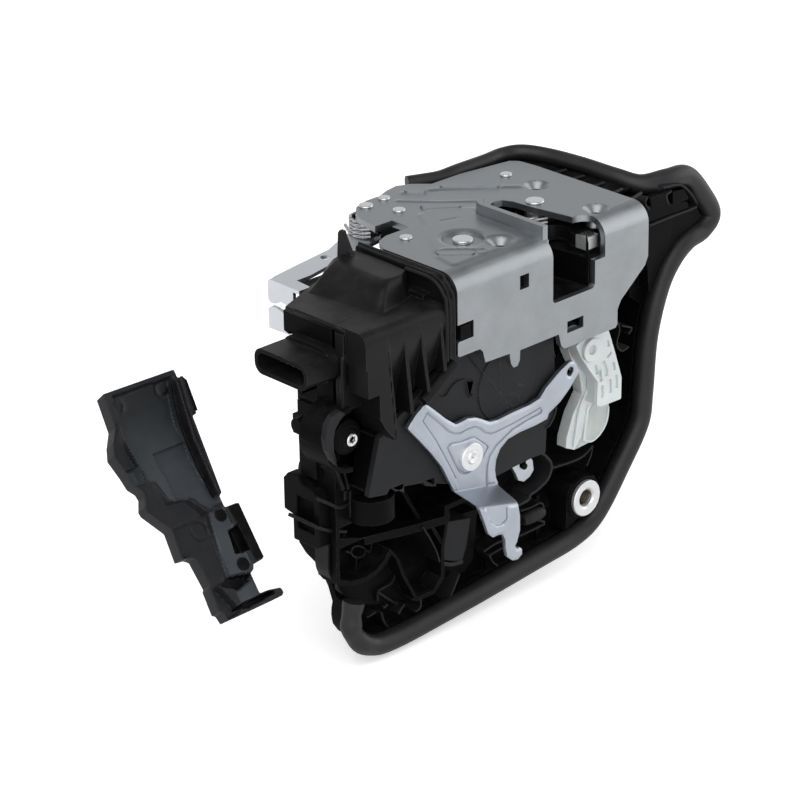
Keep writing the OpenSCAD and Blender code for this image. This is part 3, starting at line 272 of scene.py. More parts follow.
def moulded(name, colour, lighter, rough=(0.42, 0.6), fine=2600.0, depth=2e-5, dust=0.04,
            edge_highlight=0.6, fade=None, **values):
    """Moulded plastic: grain in the bump, cloudy tone, edges lightened by a painted highlight
    and a little dust; with fade, painted shade: darker upwards between two heights."""
    m, t, shader, v = start_material(name, **values)
    grain = placed(t, GRAIN, v, Fine=fine)
    tone = mix(t, ramp(t, grain["Tone"], 0.3, 0.7), colour, lighter)
    # Painted shade: the colour darkened to 0.38 of itself towards the top, between the two
    # heights of fade
    if fade:
        xyz = node(t, "ShaderNodeSeparateXYZ")
        wire(t, v, xyz.inputs[0])
        tone = mix(t, ramp(t, xyz.outputs[2], *fade), tone, tuple(c * 0.38 for c in colour))
    # Painted highlight: the plastic's edges lightened where the bevelled normal turns away,
    # standing in for light caught on rounded edges
    lit_worn_edge = calc(t, "MULTIPLY", placed(t, EDGE_WEAR_HIGHLIGHT, v)["Mask"], edge_highlight)
    tone = mix(t, lit_worn_edge, tone, tuple(c * 2.0 + 0.05 for c in lighter))
    tone = mix(t, placed(t, DUST, v, Amount=dust)["Mask"], tone, (0.32, 0.31, 0.30))
    wire(t, tone, shader.inputs["Base Color"])
    r = ramp(t, grain["Height"], 0.25, 0.75, rough[0], rough[1])
    wire(t, r, shader.inputs["Roughness"])
    bumped(t, shader, grain["Height"], depth)
    return m


def sheet_metal(name, colour, darker, rough):
    """Plated sheet: rolled streaks, blotches, thin scratches and bright edges."""
    m, t, shader, v = start_material(name, Metallic=1.0)
    s = placed(t, ROLLED, v)
    tone = mix(t, ramp(t, s["Blotch"], 0.3, 0.7), darker, colour)
    tone = mix(t, ramp(t, s["Streak"], 0.35, 0.65, 0.0, 0.25), tone, darker)
    bright = tuple(min(1.0, c * 1.12 + 0.03) for c in colour)
    # Edges lightened by the same mask: wear on the plating, and a painted edge highlight
    lit_worn_edge = calc(t, "MULTIPLY", placed(t, EDGE_WEAR_HIGHLIGHT, v)["Mask"], 0.4)
    tone = mix(t, lit_worn_edge, tone, bright)
    tone = mix(t, calc(t, "MULTIPLY", s["Scratch"], 0.35), tone, bright)
    wire(t, tone, shader.inputs["Base Color"])
    r = calc(t, "ADD", ramp(t, s["Blotch"], 0.3, 0.7, rough[0], rough[1]),
             ramp(t, s["Streak"], 0.3, 0.7, -0.04, 0.04))
    wire(t, r, shader.inputs["Roughness"])
    bumped(t, shader, calc(t, "ADD", s["Streak"], noise(t, v, 2200.0, 3.0)), 6e-6)
    return m


BLACK = moulded("black_moulding", (0.0022, 0.0022, 0.0024), (0.0036, 0.0036, 0.004),
                Specular_IOR_Level=0.06)
SATIN = moulded("black_satin_moulding", (0.005, 0.005, 0.0058), (0.008, 0.008, 0.009),
                rough=(0.32, 0.42), fine=3600.0, depth=1e-5, Specular_IOR_Level=0.16)
COVER = moulded("grey_black_moulding", (0.010, 0.0105, 0.012), (0.014, 0.0145, 0.016),
                rough=(0.45, 0.58), fine=2200.0, Specular_IOR_Level=0.2)
RUBBER = moulded("black_rubber", (0.004, 0.004, 0.004), (0.007, 0.007, 0.007),
                 rough=(0.5, 0.7), fine=1500.0, depth=4e-5, Specular_IOR_Level=0.2)
SEAL = moulded("seal_foam", (0.009, 0.009, 0.0105), (0.014, 0.014, 0.016),
               rough=(0.38, 0.5), fine=900.0, depth=3e-5, dust=0.03, edge_highlight=0.0,
               Specular_IOR_Level=0.4)
WHITE = moulded("white_moulding", (0.59, 0.63, 0.63), (0.67, 0.71, 0.71),
                rough=(0.35, 0.5), depth=1.5e-5, dust=0.03, edge_highlight=0.0,
                Subsurface_Weight=0.25, Subsurface_Scale=0.003)
STEEL = sheet_metal("latch_plate_steel", (0.385, 0.405, 0.425), (0.32, 0.34, 0.355),
                    (0.32, 0.44))
ZINC = sheet_metal("zinc_plating", (0.60, 0.635, 0.69), (0.52, 0.555, 0.60), (0.36, 0.48))
PALE_ZINC = sheet_metal("pale_zinc", (0.80, 0.83, 0.87), (0.72, 0.75, 0.79), (0.34, 0.46))
LEVER = sheet_metal("lever_zinc", (0.53, 0.565, 0.625), (0.45, 0.485, 0.54), (0.36, 0.48))
# Darker copy of the lever's zinc, for its bend and the lines pressed into it: painted shade
SHADED_ZINC = sheet_metal("shaded_zinc", (0.40, 0.435, 0.49), (0.33, 0.36, 0.41), (0.4, 0.5))
WASHER = sheet_metal("matt_zinc", (0.86, 0.87, 0.88), (0.80, 0.81, 0.82), (0.5, 0.56))
BRIGHT = sheet_metal("bright_zinc", (0.84, 0.85, 0.86), (0.72, 0.73, 0.74), (0.22, 0.34))
THREAD = sheet_metal("thread_steel", (0.30, 0.26, 0.20), (0.22, 0.19, 0.15), (0.3, 0.4))
DARK_STEEL = sheet_metal("hardened_steel", (0.40, 0.405, 0.41), (0.30, 0.305, 0.31),
                         (0.24, 0.36))
SPRING = sheet_metal("spring_wire", (0.5, 0.5, 0.51), (0.4, 0.4, 0.41), (0.22, 0.32))
CONTACT = sheet_metal("tinned_contact", (0.72, 0.62, 0.42), (0.6, 0.5, 0.33), (0.25, 0.35))
BRASS = sheet_metal("worm_brass", (0.7, 0.52, 0.24), (0.58, 0.42, 0.18), (0.25, 0.4))
# Two copies of the loose cover's one grey moulding: the first is the lit copy, darkened towards
# its top by painted shade; the second, darker copy is painted shade
LOOSE = moulded("loose_lit_grey_moulding", (0.028, 0.034, 0.040), (0.036, 0.042, 0.048),
                rough=(0.36, 0.5), fine=2200.0, fade=(-0.060, -0.042),
                Specular_IOR_Level=0.3)
LOOSE_SHADED = moulded("loose_shaded_moulding", (0.009, 0.0095, 0.012), (0.013, 0.0135, 0.016),
                     rough=(0.4, 0.55), fine=2200.0, Specular_IOR_Level=0.2)


def milky(name):
    """Milky plastic: mostly diffuse with a share of light passing through."""
    m, t, shader, v = start_material(name, Roughness=0.35, IOR=1.48,
                                     Transmission_Weight=0.35, Subsurface_Weight=0.3,
                                     Subsurface_Scale=0.004)
    tone = mix(t, ramp(t, noise(t, v, 200.0, 3.0), 0.3, 0.7), (0.62, 0.68, 0.66),
               (0.72, 0.77, 0.75))
    wire(t, tone, shader.inputs["Base Color"])
    bumped(t, shader, noise(t, v, 1500.0), 1e-5)
    return m


MILKY = milky("milky_plastic")

FINISH = {
    "latch_plate": STEEL, "plate_rivets": BRIGHT, "back_plate": STEEL,
    "latch_housing": BLACK, "throat_buffer": RUBBER, "claw_pin": BRIGHT,
    "pawl_pin": BRIGHT, "claw": SATIN, "claw_overmould": SATIN,
    "claw_spring": SPRING, "pawl": DARK_STEEL, "pawl_spring": SPRING,
    "outside_lever": PALE_ZINC, "outside_lever_pin": BRIGHT, "outside_lever_spring": SPRING,
    "base_carrier": BLACK, "perimeter_seal": SEAL, "threaded_insert": BRIGHT,
    "actuator_case": BLACK, "upper_case": SATIN, "front_cover": COVER,
    "drive_cap": COVER, "case_screw": BRIGHT, "connector_shell": SATIN,
    "connector_pins": CONTACT, "switch_box": BLACK, "lead_frame": CONTACT,
    "micro_switches": SATIN, "release_lever": ZINC, "release_lever_pin": BRIGHT,
    "lever_bumper": RUBBER, "lock_lever": WHITE, "lock_lever_pin": BRIGHT,
    "lock_link": WHITE, "link_shield": MILKY, "key_lever": ZINC,
    "key_lever_pin": BLACK, "lock_motor": STEEL, "motor_worm": BRASS,
    "worm_wheel": WHITE, "wheel_axle": BRIGHT, "cable_cover": LOOSE,
}


# ---- light, floor -----------------------------------------------------------
def soft_lamp(name, place, aim, size, power):
    """Square area lamp at place turned to aim, both in mm."""
    lamp = bpy.data.objects.new(name, bpy.data.lights.new(name, "AREA"))
    lamp.data.size, lamp.data.energy = size, power
    d = np.array(aim, float) - np.array(place, float)
    d /= np.linalg.norm(d)
    x = np.cross([0, 0, 1.0], -d)
    x /= np.linalg.norm(x)
    y = np.cross(-d, x)
    lamp.matrix_world = aimed(x, y, -d, place)
    bpy.context.collection.objects.link(lamp)


def surroundings(tree):
    """Strength of the white world: full for the camera, for glossy rays from bright low
    down to dim above, and a soft fill for the rest."""
    p = node(tree, "ShaderNodeLightPath").outputs
    xyz = node(tree, "ShaderNodeSeparateXYZ")
    wire(tree, node(tree, "ShaderNodeTexCoord").outputs["Generated"], xyz.inputs[0])
    sky = ramp(tree, xyz.outputs[2], 0.05, 0.75, 1.0, 0.28)
    seen = calc(tree, "MAXIMUM", p["Is Camera Ray"], p["Is Transmission Ray"])
    rest = calc(tree, "ADD", calc(tree, "MULTIPLY", p["Is Glossy Ray"], sky),
                calc(tree, "MULTIPLY", calc(tree, "SUBTRACT", 1.0, p["Is Glossy Ray"]), 0.6))
    return calc(tree, "ADD", calc(tree, "MULTIPLY", seen, 1.0),
                calc(tree, "MULTIPLY", calc(tree, "SUBTRACT", 1.0, seen), rest))


def studio():
    """Pale floor, white surroundings and three large lamps."""
    world = bpy.data.worlds.new("studio")
    bpy.context.scene.world = world
    world.use_nodes = True
    t = world.node_tree
    back = t.nodes["Background"]
    back.inputs["Color"].default_value = (1, 1, 1, 1)
    wire(t, surroundings(t), back.inputs["Strength"])
    low = min(cad_box[0][2], cad_box[1][2]) - 0.001
    me = bpy.data.meshes.new("floor")
    me.from_pydata([(-6, -6, low), (6, -6, low), (6, 6, low), (-6, 6, low)], [],
                   [(0, 1, 2, 3)])
    floor = bpy.data.objects.new("floor", me)
    bpy.context.collection.objects.link(floor)
    m, t, shader, _ = start_material("pale_floor", Roughness=0.9,
                                     Emission_Color=(1, 1, 1, 1))
    shader.inputs["Base Color"].default_value = (0.86, 0.86, 0.86, 1)
    seen = node(t, "ShaderNodeLightPath").outputs["Is Camera Ray"]
    wire(t, calc(t, "MULTIPLY", seen, 0.45), shader.inputs["Emission Strength"])
    me.materials.append(m)
    soft_lamp("key", (-900, -500, 1300), (0, 0, -40), 1.9, 20)
    soft_lamp("side", (1100, -500, 400), (0, 0, -60), 1.2, 5)
    soft_lamp("front", (-700, -1100, 100), (0, 0, -60), 1.0, 3)


studio()


# ---- surfaces ------------------------------------------------------------------
# A surface is (points, faces): an array of places in mm and a list of index tuples.
def ring_faces(nu, nv, capped=True):
    """Quads between nu rings of nv points, closed round each ring, with a cap at each end."""
    u, v = np.arange(nu - 1)[:, None], np.arange(nv)[None, :]
    a, b = u * nv + v, u * nv + (v + 1) % nv
    sides = np.stack([a, b, b + nv, a + nv], -1).reshape(-1, 4).tolist()
    ends = [tuple(range(nv))[::-1], tuple(range((nu - 1) * nv, nu * nv))]
    return sides + ends if capped else sides


def lathe(profile, at, axis="y", sides=40, lobes=None):
    """Turned form: point = at + r(s) (1 + lobe(s) cos 6t) (cos t, sin t) + h(s) axis."""
    r, h = np.array(profile, float).T
    t = np.linspace(0, 2 * np.pi, sides, endpoint=False)
    lobe = np.zeros(len(r)) if lobes is None else np.array(lobes, float)
    r = r[:, None] * (1 + lobe[:, None] * np.cos(6 * t))
    x, y = r * np.cos(t), r * np.sin(t)
    z = h[:, None] + 0 * x
    p = {"z": (x, y, z), "y": (y, z, x), "x": (z, x, y)}[axis]
    pts = np.stack(p, -1).reshape(-1, 3) + np.array(at, float)
    return pts, ring_faces(len(r), sides)


def smooth_path(points, steps):
    """Catmull-Rom curve through the points, steps samples to each span."""
    p = np.array(points, float)
    q = np.vstack([2 * p[0] - p[1], p, 2 * p[-1] - p[-2]])
    t = np.linspace(0, 1, steps, endpoint=False)[:, None]
    a, b, c, d = (q[i:len(q) - 3 + i][:, None, :] for i in range(4))
    s = 0.5 * (2 * b + (c - a) * t + (2 * a - 5 * b + 4 * c - d) * t ** 2
               + (3 * b - a - 3 * c + d) * t ** 3)
    return np.vstack([s.reshape(-1, p.shape[1]), p[-1:]])


def path_frames(path):
    """Two normals at each point of a path, carried along by projection."""
    t = np.gradient(path, axis=0)
    t /= np.linalg.norm(t, axis=1)[:, None]
    n = np.zeros_like(t)
    start = np.array([0, 1.0, 0]) if abs(t[0][1]) < 0.9 else np.array([1.0, 0, 0])
    for i in range(len(t)):
        start = start - t[i] * (start @ t[i])
        start /= np.linalg.norm(start)
        n[i] = start
    return n, np.cross(t, n)


def sweep(path, radius, sides=12, section=None):
    """Tube: point = path(s) + radius(s) (cos a N + sin a B); section scales both ways."""
    path = np.array(path, float)
    n, b = path_frames(path)
    a = np.linspace(0, 2 * np.pi, sides, endpoint=False)
    cs = np.stack([np.cos(a), np.sin(a)]) if section is None else np.array(section, float).T
    r = np.broadcast_to(np.asarray(radius, float), (len(path),))[:, None, None]
    pts = path[:, None, :] + r * (cs[0][None, :, None] * n[:, None, :]
                                  + cs[1][None, :, None] * b[:, None, :])
    return pts.reshape(-1, 3), ring_faces(len(path), cs.shape[1])


def area(loop):
    """Signed area of a flat loop."""
    x, y = np.array(loop, float).T
    return 0.5 * np.sum(x * np.roll(y, -1) - np.roll(x, -1) * y)


def drawn_in(loop, by):
    """Loop moved inwards by a distance, each corner along its mitre."""
    p = np.array(loop, float)
    e = np.roll(p, -1, 0) - p
    e /= np.linalg.norm(e, axis=1)[:, None] + 1e-12
    n = np.stack([-e[:, 1], e[:, 0]], 1)
    m = n + np.roll(n, 1, 0)
    m /= np.maximum(0.35, np.sum(m * n, 1))[:, None]
    return p + by * m


def rounded(loop, r, steps):
    """Loop whose corners are turned into arcs of radius r, or less on short sides."""
    p = np.array(loop, float)
    out = []
    for a, b, c in zip(np.roll(p, 1, 0), p, np.roll(p, -1, 0)):
        u, v = a - b, c - b
        lu, lv = np.linalg.norm(u), np.linalg.norm(v)
        u, v = u / lu, v / lv
        half = 0.5 * math.acos(max(-1, min(1, u @ v)))
        if half > 1.5:
            out.append(b[None])
            continue
        cut = min(r / math.tan(half), 0.45 * lu, 0.45 * lv)
        t = np.linspace(0, 1, steps + 1)[:, None]
        out.append((1 - t) ** 2 * (b + u * cut) + 2 * t * (1 - t) * b + t ** 2 * (b + v * cut))
    return np.vstack(out)


PLANES = {"xy": (0, 1, 2), "xz": (0, 2, 1), "yz": (1, 2, 0)}
UP, FRONT = (0, 0, 1), (0, -1, 0)


def plate(outline, low, high, plane, edge, holes=()):
    """Flat piece: the outline and holes carried from low to high, edges rounded by edge."""
    loops = [np.array(outline, float)] + [np.array(h, float) for h in holes]
    loops[0] = loops[0] if area(loops[0]) > 0 else loops[0][::-1]
    loops[1:] = [h if area(h) < 0 else h[::-1] for h in loops[1:]]
    e = min(edge, 0.45 * (high - low))
    arc = np.linspace(0, np.pi / 2, 4)
    stack = [(e * (1 - math.sin(a)), low + e * (1 - math.cos(a))) for a in arc]
    stack += [(e * (1 - math.sin(a)), high - e * (1 - math.cos(a))) for a in arc[::-1]]
    pts, faces, ends = [], [], [[], []]
    base = 0
    for loop in loops:
        rings = [np.column_stack([drawn_in(loop, i), np.full(len(loop), h)])
                 for i, h in stack]
        n = len(loop)
        faces += [tuple(base + k for k in f) for f in ring_faces(len(rings), n, False)]
        ends[0].append((rings[0], base))
        ends[1].append((rings[-1], base + (len(rings) - 1) * n))
        pts += rings
        base += len(rings) * n
    for k, end in enumerate(ends):
        index = np.concatenate([b + np.arange(len(r)) for r, b in end])
        if len(end) == 1:
            face = tuple(index)
            faces.append(face[::-1] if k == 0 else face)
            continue
        flat = [[Vector((x, y, 0)) for x, y, _ in r] for r, _ in end]
        for tri in tessellate_polygon(flat):
            faces.append(tuple(index[list(tri)]))
    p = np.vstack(pts)
    order = np.argsort(PLANES[plane])
    return p[:, order], faces


def box(lo, hi, edge):
    """Block from corner to corner with rounded edges."""
    return plate([(lo[0], lo[2]), (hi[0], lo[2]), (hi[0], hi[2]), (lo[0], hi[2])],
                 lo[1], hi[1], "xz", edge)


def spot(pixels, normal, level):
    """Where the camera's rays through pixels of its view meet n . p = level."""
    q, n = np.atleast_2d(np.array(pixels, float)), np.array(normal, float)
    place, right, up, ahead = VIEW
    half = PIXELS // 2
    d = ahead + (q[:, :1] - half) * right + (half - q[:, 1:]) * up
    return place + ((level - place @ n) / (d @ n))[:, None] * d


def plane_axes(normal):
    """Axes u, v, n of a plane, with u level, or along X where the plane is."""
    n = np.array(normal, float) / np.linalg.norm(normal)
    u = np.cross([0, 1.0, 0] if abs(n[2]) > 0.9 else [0, 0, 1.0], n)
    u /= np.linalg.norm(u)
    return u, np.cross(n, u), n


def drawn(pixels, normal, level):
    """Pixels brought onto a plane, in its own two axes."""
    return spot(pixels, normal, level) @ np.stack(plane_axes(normal)[:2], 1)


def shown(pixels, y):
    """Pixels brought onto the plane at y, as (x, z)."""
    return drawn(pixels, FRONT, -y)


def lifted(p, normal, level):
    """Points in a plane's own axes brought to their place, at one level or one for each."""
    u, v, n = plane_axes(normal)
    return p[:, :1] * u + p[:, 1:] * v + np.reshape(level, (-1, 1)) * n


def face_loops(name, normal, level):
    """Rims of a node's flat face, in the plane's own two axes."""
    u, v, n = plane_axes(normal)
    bm = bmesh.new()
    bm.from_mesh(nodes[name].data)
    bmesh.ops.remove_doubles(bm, verts=bm.verts, dist=1e-6)
    bm.verts.index_update()
    picked = [f for f in bm.faces if np.dot(f.normal, n) > 0.999
              and abs(np.dot(f.verts[0].co, n) / MM - level) < 0.05]
    after = {c.vert.index: c.link_loop_next.vert.index for f in picked for c in f.loops
             if sum(g in picked for g in c.edge.link_faces) == 1}
    co = np.array([w.co for w in bm.verts]) / MM
    bm.free()
    loops = []
    while after:
        first, k = after.popitem()
        loop = [first]
        while k != first and k in after:
            loop.append(k)
            k = after.pop(k)
        loops.append(co[loop] @ np.stack([u, v], 1))
    return loops


def divided(loop, most):
    """Loop with points added so that no side is longer than most."""
    p = np.array(loop, float)
    out = []
    for a, b in zip(p, np.roll(p, -1, 0)):
        n = max(1, int(np.ceil(np.linalg.norm(b - a) / most)))
        out.append(a + (b - a) * np.linspace(0, 1, n, endpoint=False)[:, None])
    return np.vstack(out)


def near(q, path, closed=False):
    """Distance from points to a polyline."""
    p = np.array(path, float)
    a, b = (p, np.roll(p, -1, 0)) if closed else (p[:-1], p[1:])
    best = np.full(len(q), 1e9)
    for i, j in zip(a, b):
        e = j - i
        t = np.clip(((q - i) @ e) / (e @ e + 1e-12), 0, 1)
        best = np.minimum(best, np.linalg.norm(q - i - t[:, None] * e, axis=1))
    return best


def inside(q, loops):
    """Even-odd test of points against loops."""
    odd = np.zeros(len(q), bool)
    for loop in loops:
        a, b = np.array(loop, float), np.roll(np.array(loop, float), -1, 0)
        for i, j in zip(a, b):
            cross = (i[1] > q[:, 1]) != (j[1] > q[:, 1])
            x = i[0] + (q[:, 1] - i[1]) * (j[0] - i[0]) / (j[1] - i[1] + 1e-12)
            odd ^= cross & (q[:, 0] < x)
    return odd


def smooth(x):
    """Smooth step of 0..1."""
    x = np.clip(x, 0, 1)
    return x * x * (3 - 2 * x)


def bank(q, loop, width):
    """1 well inside a loop and 0 outside, smooth across its edge."""
    d = near(q, loop, True) * np.where(inside(q, [loop]), 1, -1)
    return smooth(0.5 + d / width)


def ridge(q, path, half, closed=False):
    """Rounded ridge along a polyline: (1 + cos(pi d / half)) / 2 within half of it."""
    d = np.minimum(near(q, path, closed) / half, 1)
    return 0.5 * (1 + np.cos(np.pi * d))


def loft(rings, capped=True):
    """Surface through rings of equal point counts, closed round each ring."""
    return np.vstack(rings), ring_faces(len(rings), len(rings[0]), capped)


def bar(left, right, front, back, cut, inset):
    """Closed bar between two lines of (x, z) points, from depth front to depth back at each
    step; its front corners are cut off by cut in depth and by inset across."""
    x, z = (np.stack([a, a, a + i, b - i, b, b], 1)
            for a, b, i in zip(left.T, right.T, np.broadcast_to(inset, left.shape).T))
    y = np.stack([back, front + cut, front, front, front + cut, back], 1)
    return loft(list(np.stack([x, y, z], -1)))


def swept(points, radius, steps=6):
    """Round bead along a smooth curve through a few points."""
    return sweep(smooth_path(points, steps), radius, 10)


def across(path, wide):
    """Half of wide, square to a flat polyline at each of its points."""
    t = np.gradient(path, axis=0)
    t /= np.linalg.norm(t, axis=1)[:, None]
    return np.stack([-t[:, 1], t[:, 0]], 1) * wide / 2


def strip(path, wide):
    """Outline of a bar of even width along a flat polyline."""
    p = np.array(path, float)
    n = across(p, wide)
    return np.vstack([p + n, (p - n)[::-1]])


def wall(pixels, y, back, wide, steps=5):
    """Upright wall along a line of pixels at y, reaching back to another y."""
    path = smooth_path(shown(pixels, y), steps)
    return plate(strip(path, wide), y, back, "xz", 0.3)


def ground(names):
    """Tree of the faces of a few nodes, to find what lies behind a point."""
    pts, faces = [], []
    for name in names:
        me = nodes[name].data
        faces += [[len(pts) + k for k in p.vertices] for p in me.polygons]
        pts += [w.co / MM for w in me.vertices]
    return BVHTree.FromPolygons(pts, faces)


GROUND = ground(("actuator_case", "base_carrier"))


def rib(pixels, y, wide):
    """Upright rib along pixels at y, back to 0.5 mm inside the case or carrier behind each
    point of the line; where nothing is behind, back to the least depth found."""
    path = smooth_path(shown(pixels, y), 3)
    n = across(path, wide)
    hits = [GROUND.ray_cast((x, y + 0.3, z), (0, 1, 0), 45)[0] for x, z in path]
    least = min((h[1] for h in hits if h is not None), default=y + 4)
    back = np.array([least if h is None else h[1] for h in hits]) + 0.5
    return bar(path - n, path + n, np.full(len(path), y), back, 0.2, 0.3 * n)


def relief(loops, normal, level, height, grid, fade=1.2, lift=0.03):
    """Relief on a flat region: p(u, v) = plane(u, v) + n (lift + height(u, v)), the
    height fading to nothing at the rims."""
    loops = [divided(loop, grid) for loop in loops]
    rim = np.vstack(loops)
    x, y = np.meshgrid(np.arange(rim[:, 0].min(), rim[:, 0].max(), grid),
                       np.arange(rim[:, 1].min(), rim[:, 1].max(), grid * 0.87))
    x = x + 0.5 * grid * (np.arange(len(x)) % 2)[:, None]
    q = np.stack([x.ravel(), y.ravel()], 1)
    q = q[inside(q, loops)]
    far = np.min([near(q, loop, True) for loop in loops], 0)
    q = q[far > 0.45 * grid]
    start = np.cumsum([0] + [len(loop) for loop in loops])
    edges = np.vstack([np.stack([np.arange(len(loop)), (np.arange(len(loop)) + 1) % len(loop)],
                                1) + s for loop, s in zip(loops, start)])
    got = delaunay_2d_cdt(np.vstack([rim, q]).tolist(), edges.tolist(), [], 0, 1e-6, False)
    p, tri = np.array(got[0]), np.array(got[2])
    tri = tri[inside(p[tri].mean(1), loops)]
    a, b, c = (p[tri[:, i]] for i in range(3))
    turn = (b[:, 0] - a[:, 0]) * (c[:, 1] - a[:, 1]) - (b[:, 1] - a[:, 1]) * (c[:, 0] - a[:, 0])
    tri[turn < 0] = tri[turn < 0][:, ::-1]
    far = np.min([near(p, loop, True) for loop in loops], 0)
    h = lift + smooth(far / fade) * height(p)
    return lifted(p, normal, level + h), tri.tolist()


def disc(x, y, r, sides):
    """Round outline."""
    t = np.linspace(0, 2 * np.pi, sides, endpoint=False)
    return np.stack([x + r * np.cos(t), y + r * np.sin(t)], 1)


# Angle in degrees past which an edge stays sharp
SHARP = 34.0


def piece(name, surfaces, material, body="frame", replaces=(), sharp=SHARP, mend=True):
    """Object from surfaces in mm: faces turned outwards, smooth with sharp edges kept."""
    pts, faces, base = [], [], 0
    for p, f in surfaces:
        pts.append(p)
        faces += [tuple(int(k) + base for k in q) for q in f]
        base += len(p)
    me = bpy.data.meshes.new(name)
    me.from_pydata((np.vstack(pts) * MM).tolist(), [], faces)
    if mend:
        bm = bmesh.new()
        bm.from_mesh(me)
        bmesh.ops.recalc_face_normals(bm, faces=bm.faces)
        bm.to_mesh(me)
        bm.free()
    me.polygons.foreach_set("use_smooth", [True] * len(me.polygons))
    me.set_sharp_from_angle(angle=math.radians(sharp))
    me.materials.append(material)
    o = bpy.data.objects.new(name, me)
    bpy.context.collection.objects.link(o)
    w = o.modifiers.new("shading", "WEIGHTED_NORMAL")
    w.keep_sharp = True
    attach(o, body)
    if replaces:
        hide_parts(*replaces)
    return o


# ---- pieces ------------------------------------------------------------------
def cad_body(name):
    """The CAD body that a node rides on."""
    return next(body for body, parts in frame["record"]["behaviour"]["bodies"].items()
                if name in parts)


def softened(name, width):
    """A node's own mesh, merged, its flat faces joined again and its edges rounded."""
    bm = bmesh.new()
    bm.from_mesh(nodes[name].data)
    bmesh.ops.remove_doubles(bm, verts=bm.verts, dist=1e-6)
    bmesh.ops.dissolve_limit(bm, angle_limit=math.radians(0.4), verts=bm.verts,
                             edges=bm.edges)
    me = bpy.data.meshes.new(name + "_soft")
    bm.to_mesh(me)
    bm.free()
    for p in me.polygons:
        p.use_smooth = True
    me.set_sharp_from_angle(angle=math.radians(SHARP))
    me.materials.clear()
    me.materials.append(FINISH[name])
    o = bpy.data.objects.new(name + "_soft", me)
    bpy.context.collection.objects.link(o)
    b = o.modifiers.new("edges", "BEVEL")
    b.width, b.segments, b.limit_method = width * MM, 2, "ANGLE"
    b.angle_limit = math.radians(SHARP)
    b.harden_normals, b.use_clamp_overlap = True, True
    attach(o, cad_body(name))
    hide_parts(name)


for name, material in FINISH.items():
    me = nodes[name].data
    me.materials.clear()
    me.materials.append(material)

# Radius of the rounded edges of the nodes that keep their own shape
EDGES = {
    "latch_plate": 0.45, "latch_housing": 0.5, "base_carrier": 0.6, "actuator_case": 0.7,
    "connector_shell": 0.3, "switch_box": 0.5, "outside_lever": 0.35, "lock_link": 0.5,
    "link_shield": 0.4, "release_lever_pin": 0.4, "claw": 0.4, "plate_rivets": 0.35,
    "claw_pin": 0.4, "pawl_pin": 0.4, "outside_lever_pin": 0.4,
}
for name, width in EDGES.items():
    softened(name, width)


# ---- latch plate and release lever: pressed relief ---------------------------------
def plate_relief(q):
    """Pressed field round the pawl pin, three soft steps, a slit mark and an oblong rim."""
    field = drawn([(418, 215), (430, 210), (450, 208), (484, 208), (500, 222), (520, 236),
                   (536, 244), (512, 254), (488, 263), (452, 266), (437, 258), (431, 246),
                   (427, 236), (425, 226)], UP, 0)
    h = 0.45 * bank(q, field, 1.6)
    for line, r, up in (([(398, 201), (440, 202), (482, 201)], 1.6, 0.35),
                        ([(404, 193), (440, 189), (500, 187), (545, 186)], 2.2, 0.45),
                        ([(441, 222), (457, 219)], 0.6, -0.3)):
        h += up * ridge(q, drawn(line, UP, 0), r)
    d = near(q, drawn([(446, 252), (482, 252)], UP, 0))
    return h + 0.3 * np.exp(-((d - 2.0) / 0.5) ** 2)


# Depths of the front faces of the lever's upper part and of its foot
LEVER_FACE, FOOT_FACE = -26.5, -39.0
LEVER_WEB = shown([(427, 412.6), (432, 417), (442, 425), (448, 431), (453, 433.6),
                   (460, 433.6), (466, 430), (474, 427), (480, 428.4), (485, 432.4), (490, 434),
                   (496, 432), (512, 424), (528, 415), (540, 408), (542, 410.5), (540, 413.6),
                   (526, 421), (512, 430), (504, 438), (496, 446), (490, 456), (487.6, 466),
                   (487, 478), (488, 500), (462, 500), (456, 478), (448, 462), (436, 440),
                   (423, 421)], LEVER_FACE)
LEVER_PAD = shown([(448, 448), (451, 444), (460, 442), (466, 440), (474, 437), (480, 440),
                   (488, 446), (486, 451), (480, 462), (470, 472), (464, 474), (458, 469)],
                  LEVER_FACE)


def lever_relief(q):
    """Rim left proud of the web that follows the lever's edge, and a pad round its pin."""
    crease = ridge(q, LEVER_WEB, 0.9, True) + ridge(q, LEVER_PAD, 0.9, True)
    return (0.45 * (1 - bank(q, LEVER_WEB, 0.7)) + 0.35 * bank(q, LEVER_PAD, 0.7)
            - 0.3 * crease)


def foot_relief(q):
    """Web on the foot of the lever, open towards the bend."""
    web = shown([(480, 490), (487, 512), (490, 522), (496, 526.5), (504, 524), (508, 519),
                 (508, 508), (503, 490)], FOOT_FACE)
    return 0.5 * (1 - bank(q, web, 0.7))


